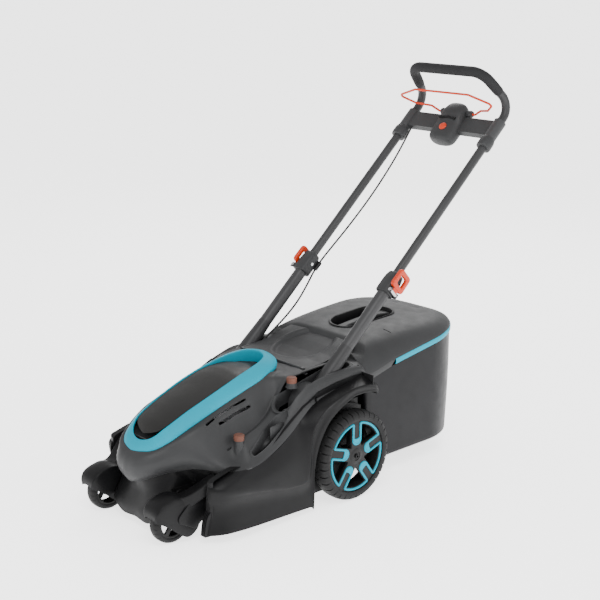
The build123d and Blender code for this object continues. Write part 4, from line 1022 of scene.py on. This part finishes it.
def make_flap():
    """Rear flap with its hinge barrels along the front edge."""
    xs = np.linspace(-FLAP_HALF_WIDTH + 0.5, FLAP_HALF_WIDTH - 0.5, 79)
    ys = np.linspace(FLAP_FRONT, FLAP_REAR, 61)
    flap = grid_piece("flap_panel", [[(x, y, flap_height(x, y)) for x in xs] for y in ys], "hood_plastic",
                      "rear_flap_body")
    thicken(flap, 3.5)
    hinge = Vector(joints["rear_flap_hinge"]["pos_m"]) / MM
    barrels = []
    for low, high in ((-116.5, -113.5), (-104.5, 104.5), (113.5, 116.5)):
        tube = [(2.7, low), (3.9, low), (3.9, high), (2.7, high)]
        barrels.append(lathe(f"flap_barrel_{low}", tube, hinge, (1, 0, 0), "hood_plastic", "rear_flap_body",
                             count=24))
    merge("flap_barrels", barrels)
    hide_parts("rear_flap")


BAG_HALF, BAG_FRONT, BAG_REAR, BAG_CORNER = 192.0, 20.0, 436.0, 158.0
BAG_CENTRE = np.array((0.0, 230.0))
TRIM_FRONT, TRIM_WIDTH = 119.0, 14.0
# The trim's section: distance out from the bag's side, and share of the band's width.
BAND_SECTION = [(-1.5, 0.0), (0.6, 0.03), (1.3, 0.15), (1.4, 0.5), (1.3, 0.85), (0.6, 0.97), (-1.5, 1.0)]


BAG_FRONT_CORNER = 9.0


def bag_outline(inset=0.0):
    """Plan of the bag, as a closed loop from the middle of the front face round the left side."""
    w, front, rear, r = BAG_HALF - inset, BAG_FRONT + inset, BAG_REAR - inset, BAG_CORNER - inset
    f = BAG_FRONT_CORNER
    half = [(0, front), (w / 3, front), (2 * w / 3, front)]
    half += arc((w - f, front + f), f, -pi / 2, pi / 2, 5)
    half += [(w, y) for y in np.linspace(front + f, rear - r, 16)[1:-1]]
    half += arc((w - r, rear - r), r, 0, pi / 2, 13)
    half += [((w - r) * (1 - t), rear) for t in (0.35, 0.7, 1.0)]
    return half + [(-x, y) for x, y in half[-2:0:-1]]


def trim_height(y):
    """Height of the trim's lower edge, which climbs towards the rear."""
    return float(np.interp(y, [20, 119, 330, 446], [267, 292, 325, 334]))


def lid_edge(y):
    """Height of the lid's lower edge, which steps up where the trim begins."""
    return trim_height(y) + TRIM_WIDTH * float(np.clip((y - 112) / 10, 0, 1))


def bag_top(x, y):
    """Crown of the bag lid, falling away to its shoulders."""
    crest = float(np.interp(y, [20, 52, 64, 100, 150, 200, 245, 300, 350, 400, 436],
                            [322, 331, 350, 355, 360, 364, 366, 367, 366, 361, 350]))
    front = float(np.interp(abs(x), [117, 126], [0, 1]))
    crest = crest * (1 - front) + max(crest, float(np.interp(y, [20, 64], [340, 350]))) * front
    rear = max(0.0, y - (BAG_REAR - BAG_CORNER))
    width = BAG_HALF - BAG_CORNER + sqrt(max(0.0, BAG_CORNER ** 2 - rear ** 2))
    shoulder = float(np.interp(y, [20, 60, 119, 330, 436], [286, 292, 308, 341, 349]))
    u = min(1.0, abs(x) / width)
    return shoulder + (crest - shoulder) * max(0.0, 1 - u ** 6.5)


def recess_outline():
    """Plan outline of the handle recess in the bag lid."""
    return rounded_slot(0, 105, 300, 50, 18)


def make_bag_lid():
    """Crowned lid with a recess for the handle and a slit beside it."""
    lid_rows = []
    for inset, drop in ((0.0, None), (0.0, 3.0), (1.2, 1.0), (4.0, 0.0)):
        ring = []
        for x, y in bag_outline(inset):
            edge = lid_edge(y)
            top = bag_top(abs(x) if inset else abs(x) - 0.5, y)
            z = edge if drop is None else top - drop
            ring.append((x, y, max(z, edge)))
        lid_rows.append(ring)
    for scale in (0.94, 0.88, 0.81, 0.73, 0.65, 0.56, 0.47, 0.37, 0.27, 0.17, 0.08, 0.02):
        lid_rows.append([(x, y, lid_relief(x, y)) for x, y in scaled(bag_outline(4.0), BAG_CENTRE, scale)])
    lid = grid_piece("bag_cover", smooth_line(lid_rows, 2), "hood_plastic", "grass_bag", wrap_columns=True)
    thicken(lid, 3.0)
    slit = rounded_slot(125, 151, 179, 1.5, 6, pi / 2)
    cut(lid, tool_prism(recess_outline(), 300, 450), tool_prism(slit, 320, 400))
    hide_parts("bag_lid")


def make_bag_shell():
    """Open-fronted shell, slightly bulged, with a rounded bottom edge."""
    rows = []
    for share in np.linspace(0, 1, 15):
        ring = []
        for x, y in bag_outline():
            top = trim_height(y) - 0.6
            z = 62 + (top - 62) * share
            bulge = 2.0 * sin(pi * share) - 2.5 * (1 - share)
            dx, dy = outline_normal(x, y)
            ring.append((x + dx * (bulge - 1.5), y + dy * (bulge - 1.5), z))
        rows.append(ring)
    floor_rows = []
    for scale in (0.1, 0.55):
        floor_rows.append([(x, y, 50) for x, y in scaled(bag_outline(14), BAG_CENTRE, scale)])
    for inset, z in ((14, 50), (8, 51), (5, 54), (4, 58)):
        floor_rows.append([(x, y, z) for x, y in bag_outline(inset)])
    shell = grid_piece("bag_body", floor_rows + rows, "bag_plastic", "grass_bag", wrap_columns=True)
    thicken(shell, 3.0)
    cut(shell, tool_prism(box_outline(125, 5, 32), 62, 240))
    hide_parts("bag_shell")


def make_bag_trim():
    """Teal band between shell and lid, from the left side round the rear to the right."""
    stripe = []
    for x, y in bag_outline():
        if y < TRIM_FRONT:
            continue
        dx, dy = outline_normal(x, y)
        stripe.append([(x + dx * d, y + dy * d, trim_height(y) + TRIM_WIDTH * t)
                       for d, t in BAND_SECTION])
    order = sorted(range(len(stripe)), key=lambda i: atan2(stripe[i][0][0], stripe[i][0][1] - 60))
    band = grid_piece("trim_stripe", [stripe[i] for i in order], "teal_plastic", "grass_bag")
    thicken(band, 1.5)
    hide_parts("bag_trim")


def outline_normal(x, y):
    """Outward direction of the bag's plan near its edge."""
    cx = max(0.0, abs(x) - (BAG_HALF - BAG_CORNER))
    cy = max(0.0, y - (BAG_REAR - BAG_CORNER))
    if cy <= 0:
        return (1.0 if x > 0 else -1.0, 0.0) if y > BAG_FRONT + BAG_FRONT_CORNER else (
            0.0, -1.0 if abs(x) < BAG_HALF - BAG_FRONT_CORNER else 0.0)
    length = sqrt(cx * cx + cy * cy)
    return ((cx if x > 0 else -cx) / length, cy / length)


def lid_relief(x, y):
    """Bag lid height with a raised island round the handle's rear."""
    r = sqrt((x / 116.0) ** 2 + ((y - 240) / 145.0) ** 2)
    groove = np.exp(-((r - 1.0) / 0.02) ** 2)
    return bag_top(x, y) - 2.4 * groove * float(np.clip((y - 200) / 50, 0, 1))


def make_bag_handle():
    """Recess in the bag lid with a grip bar along its middle."""
    rings = []
    for scale, drop in ((1.04, 0.8), (1.02, 1.6), (0.99, 1.0), (0.97, -3), (0.95, -14), (0.92, -34),
                        (0.86, -40), (0.5, -42), (0.1, -42)):
        plan = scaled(recess_outline(), np.array((0.0, 202.5)), scale)
        rings.append([(x, y, bag_top(x, y) + drop) for x, y in plan])
    bowl = grid_piece("bag_handle_recess", rings, "deck_plastic", "grass_bag", wrap_columns=True)
    thicken(bowl, 1.5, 1.0)
    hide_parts("bag_handle")
    path = [(0, y, bag_top(0, y) - 9 - 4 * (abs(y - 202) / 96) ** 3) for y in np.linspace(108, 297, 22)]
    sweep("bag_handle_bar", path, lambda t: rounded_box_section(11 + 9 * abs(2 * t - 1) ** 5, -8, 5, 4.5),
          "hood_plastic", "grass_bag")


# ---- handle --------------------------------------------------------------------
fold = Vector(joints["handle_fold"]["pos_m"]) / MM
along_handle = (Vector(joints["upper_fold"]["pos_m"]) / MM - fold).normalized()
over_handle = Vector((0, -along_handle.z, along_handle.y))


def at(x, along, over=0.0):
    """A point by its X, its distance up the handle and its height over the handle's plane."""
    return Vector((x, 0, 0)) + Vector((0, fold.y, fold.z)) + along_handle * along + over_handle * over


def handle_loft(name, stations, slot, body, x=0.0, power=2.6):
    """Closed form along the handle: stations of (along, half width, low, high)."""
    grid = []
    for s, half, low, high in smooth_line(stations, 5):
        ring = []
        for c, d in circle(1, 28):
            u = half * np.sign(c) * abs(c) ** (2 / power)
            v = (low + high) / 2 + (high - low) / 2 * np.sign(d) * abs(d) ** (2 / power)
            ring.append(at(x + u, s, v))
        grid.append(ring)
    return grid_piece(name, grid, slot, body, wrap_columns=True, caps=True)


SLEEVE_AT = 850
BUTTON_AT = 872


def make_controls():
    """Control pod with its step, ears and start button, and the sleeve ends of the crossbar."""
    pod = handle_loft("pod_shell", [(836, 14, -15, 4), (838, 28, -20, 10), (843, 38, -23, 16),
                                    (853, 43, -24, 20), (872, 44, -24, 22), (892, 43, -23, 24),
                                    (908, 41, -21, 29), (926, 38, -19, 33), (944, 33, -15, 31),
                                    (955, 26, -10, 25), (961, 15, -3, 16)],
                      "hood_plastic", "upper_handle")
    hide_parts("control_housing")
    lip = [at(u, 899 + 3 * (1 - (u / 27) ** 2), 27.0) for u in np.linspace(-27, 27, 15)]
    sweep("pod_step", lip, rounded_box_section(4, -3, 1.6, 1.2, 3), "deck_plastic", "upper_handle",
          ups=over_handle)
    for name, side in SIDES:
        ear = [(4, -9), (9, -8), (10, -4), (10, 4), (8.5, 8), (4, 9)]
        lathe(f"pod_ear_{name}", ear, at(side * 45, 936, 6), (side, 0, 0), "hood_plastic", "upper_handle",
              count=40)
    button = lathe("button_cap", [(7, -6), (10.5, -5), (11, -1), (10.4, 1.6), (8, 3.0), (4, 3.8), (0, 4.0)],
                   at(0, BUTTON_AT, 22.5), over_handle, "orange_plastic", "start_button_body", smooth=2)
    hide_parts("start_button")
    sleeve = [(11.6, -17), (17.0, -17), (19.2, -15.5), (20.0, -10), (19.8, 6), (18.4, 12), (17.2, 16), (11.6, 16)]
    for name, side in SIDES:
        lathe(f"sleeve_end_{name}", sleeve, at(side * HANDLE_X, SLEEVE_AT), along_handle, "hood_plastic",
              "upper_handle")


def filleted(points, radius):
    """A polyline with its corners rounded."""
    path = [points[0]]
    for before, corner, after in zip(points, points[1:], points[2:]):
        u, v = (before - corner).normalized(), (after - corner).normalized()
        half = u.angle(v) / 2
        centre = corner + (u + v).normalized() * radius / sin(half)
        first, last = ((corner + way * radius / tan(half) - centre).normalized() for way in (u, v))
        path += [centre + first.slerp(last, t) * radius for t in np.linspace(0, 1, 13)]
    return path + [points[-1]]


def make_grip():
    """Foam sleeve over the handle's top bar, a little fuller between its ends."""
    bend, top = at(HANDLE_X, 985), Vector((122, 505, 990))
    low = bend.lerp(top, 0.4)
    mirrored = [Vector((-p.x, p.y, p.z)) for p in (top, low)]
    corners = filleted([low, top] + mirrored, 42.0)
    spacing = 4.0
    path = []
    for a, b in zip(corners, corners[1:]):
        steps = max(1, round((b - a).length / spacing))
        path += [a.lerp(b, k / steps) for k in range(steps)]
    path.append(corners[-1])

    def section(t):
        end = min(t, 1 - t) * (len(path) - 1) * spacing
        r = 13.1 * (1 - 0.14 * float(np.exp(-end / 2.0))) + 0.7 * float(np.clip(end / 30, 0, 1))
        r += 0.12 * sin(end * 0.9)
        return circle(r, 32)

    foam = sweep("grip_sleeve", path, section, "foam", "upper_handle")
    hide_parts("grip_foam")


LEVER_PIN_AT = 350


def make_collar(name, side):
    """Clamp collar on the joint of the two tubes, with the loop of its cam lever outside."""
    x, outer_x = side * HANDLE_X, side * (HANDLE_X + 26)
    lever_body = f"cam_lever_{name}_body"
    stations = [(341, 17.2, -17.4, 16.6), (343, 20.3, -20.0, 18.6), (350, 21.0, -20.6, 19.2),
                (366, 21.0, -20.6, 19.2), (384, 20.6, -20.2, 18.8), (396, 18.6, -18.6, 17.0),
                (402, 16.8, -17.0, 15.4), (404, 14.0, -14.0, 12.8)]
    collar = handle_loft(f"collar_{name}", stations, "hood_plastic", "lower_handle", x=x, power=3.4)
    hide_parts(f"clamp_collar_{name}")
    outer = round_corners([(-25, -25), (26, -24), (26, 24), (-25, 25)], 11.0)
    inner = round_corners([(-12, -12), (13, -12), (13, 12), (-12, 12)], 5.0)
    place = frame_at(at(x + side * 26.5, LEVER_PIN_AT + 36), along_handle, (side, 0, 0))
    ring = plate(f"lever_ring_{name}", [outer, inner], place, 10.5, 3.0, "orange_plastic", lever_body, 4)
    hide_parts(f"cam_lever_{name}")
    tongue = [at(outer_x, LEVER_PIN_AT)] + [at(x + side * 26.5, LEVER_PIN_AT + reach) for reach in (8, 16)]
    sweep(f"lever_tongue_{name}", tongue, lambda t: rounded_box_section(4 - t, -11 + 2 * t, 11 - 2 * t, 2),
          "orange_plastic", lever_body, ups=over_handle)
    lathe(f"lever_pin_{name}", [(2.4, -18), (4.6, -17.5), (4.8, -12), (4.8, 12), (4.6, 17.5), (2.4, 18)],
          at(outer_x, LEVER_PIN_AT), over_handle, "steel", lever_body, count=32)
    for end, over in (("low", -14.5), ("high", 14.5)):
        lug = [at(x + side * reach, LEVER_PIN_AT, over) for reach in (12, 24, 31)]
        sweep(f"lever_lug_{name}_{end}", lug, rounded_box_section(7, -1.7, 1.7, 1.2, 3), "hood_plastic",
              "lower_handle", ups=over_handle)


def make_boot(name, side):
    """The tube's foot widens where it enters the slot."""
    profile = [(19.2, -40), (20.6, -36), (20.6, 0), (19.4, 40), (17.6, 80), (16.6, 104), (16.1, 106), (15.5, 106)]
    lathe(f"tube_boot_{name}", profile, at(side * HANDLE_X, 66), along_handle, "handle_tube", "lower_handle",
          smooth=3)


CABLE_X = -HANDLE_X + 22
CABLE_ROUTE = [(0, 871.6, -4), (2, 812, -13), (5, 752, -18), (7, 692, -20.5), (8, 632, -21.5),
               (7.5, 572, -21), (6, 512, -19.5), (3, 455, -17.5), (0, 404, -16), (0, 365, -17),
               (1, 322, -25), (2, 272, -31), (1, 218, -29), (-1, 165, -21), (-4, 118, -14), (-5, 82, -12)]


def make_cable():
    """Control cable down the right side of the handle, bent across the fold joint."""
    curve = bpy.data.curves.new("cable_line", "CURVE")
    curve.dimensions = "3D"
    curve.resolution_u = 12
    curve.bevel_depth = 2.6 * MM
    curve.bevel_resolution = 5
    curve.use_fill_caps = True
    spline = curve.splines.new("NURBS")
    spline.points.add(len(CABLE_ROUTE) - 1)
    for point, (dx, along, over) in zip(spline.points, CABLE_ROUTE):
        point.co = (*(at(CABLE_X + dx, along, over) * MM), 1)
    spline.order_u = 3
    spline.use_endpoint_u = True
    piece = place_in_scene("control_cable", mesh_from_curve("cable_line", curve))
    piece.data.materials.clear()
    piece.data.materials.append(FINISH["cable"])
    tidy_mesh(piece)
    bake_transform(piece)
    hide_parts("cable_upper", "cable_lower")
    clip = [at(CABLE_X + dx, 380, over) for dx, over in ((-8, -14), (-3, -16), (5, -16))]
    sweep("cable_clip", clip, rounded_box_section(13, -5, 5, 2, 3), "deck_plastic", "lower_handle",
          ups=over_handle)


make_camera()
make_stage()
paint_frame_nodes()
hood_tree = make_hood()
make_ring()
make_lid()
make_deck()
for side_name, side_sign in SIDES:
    make_front_arm(side_name, side_sign)
    make_front_wheel(side_name, side_sign)
    make_rear_wheel(side_name, side_sign)
    make_collar(side_name, side_sign)
    make_boot(side_name, side_sign)
make_posts(hood_tree)
make_flap()
make_bag_lid()
make_bag_shell()
make_bag_trim()
make_bag_handle()
make_controls()
make_grip()
make_cable()
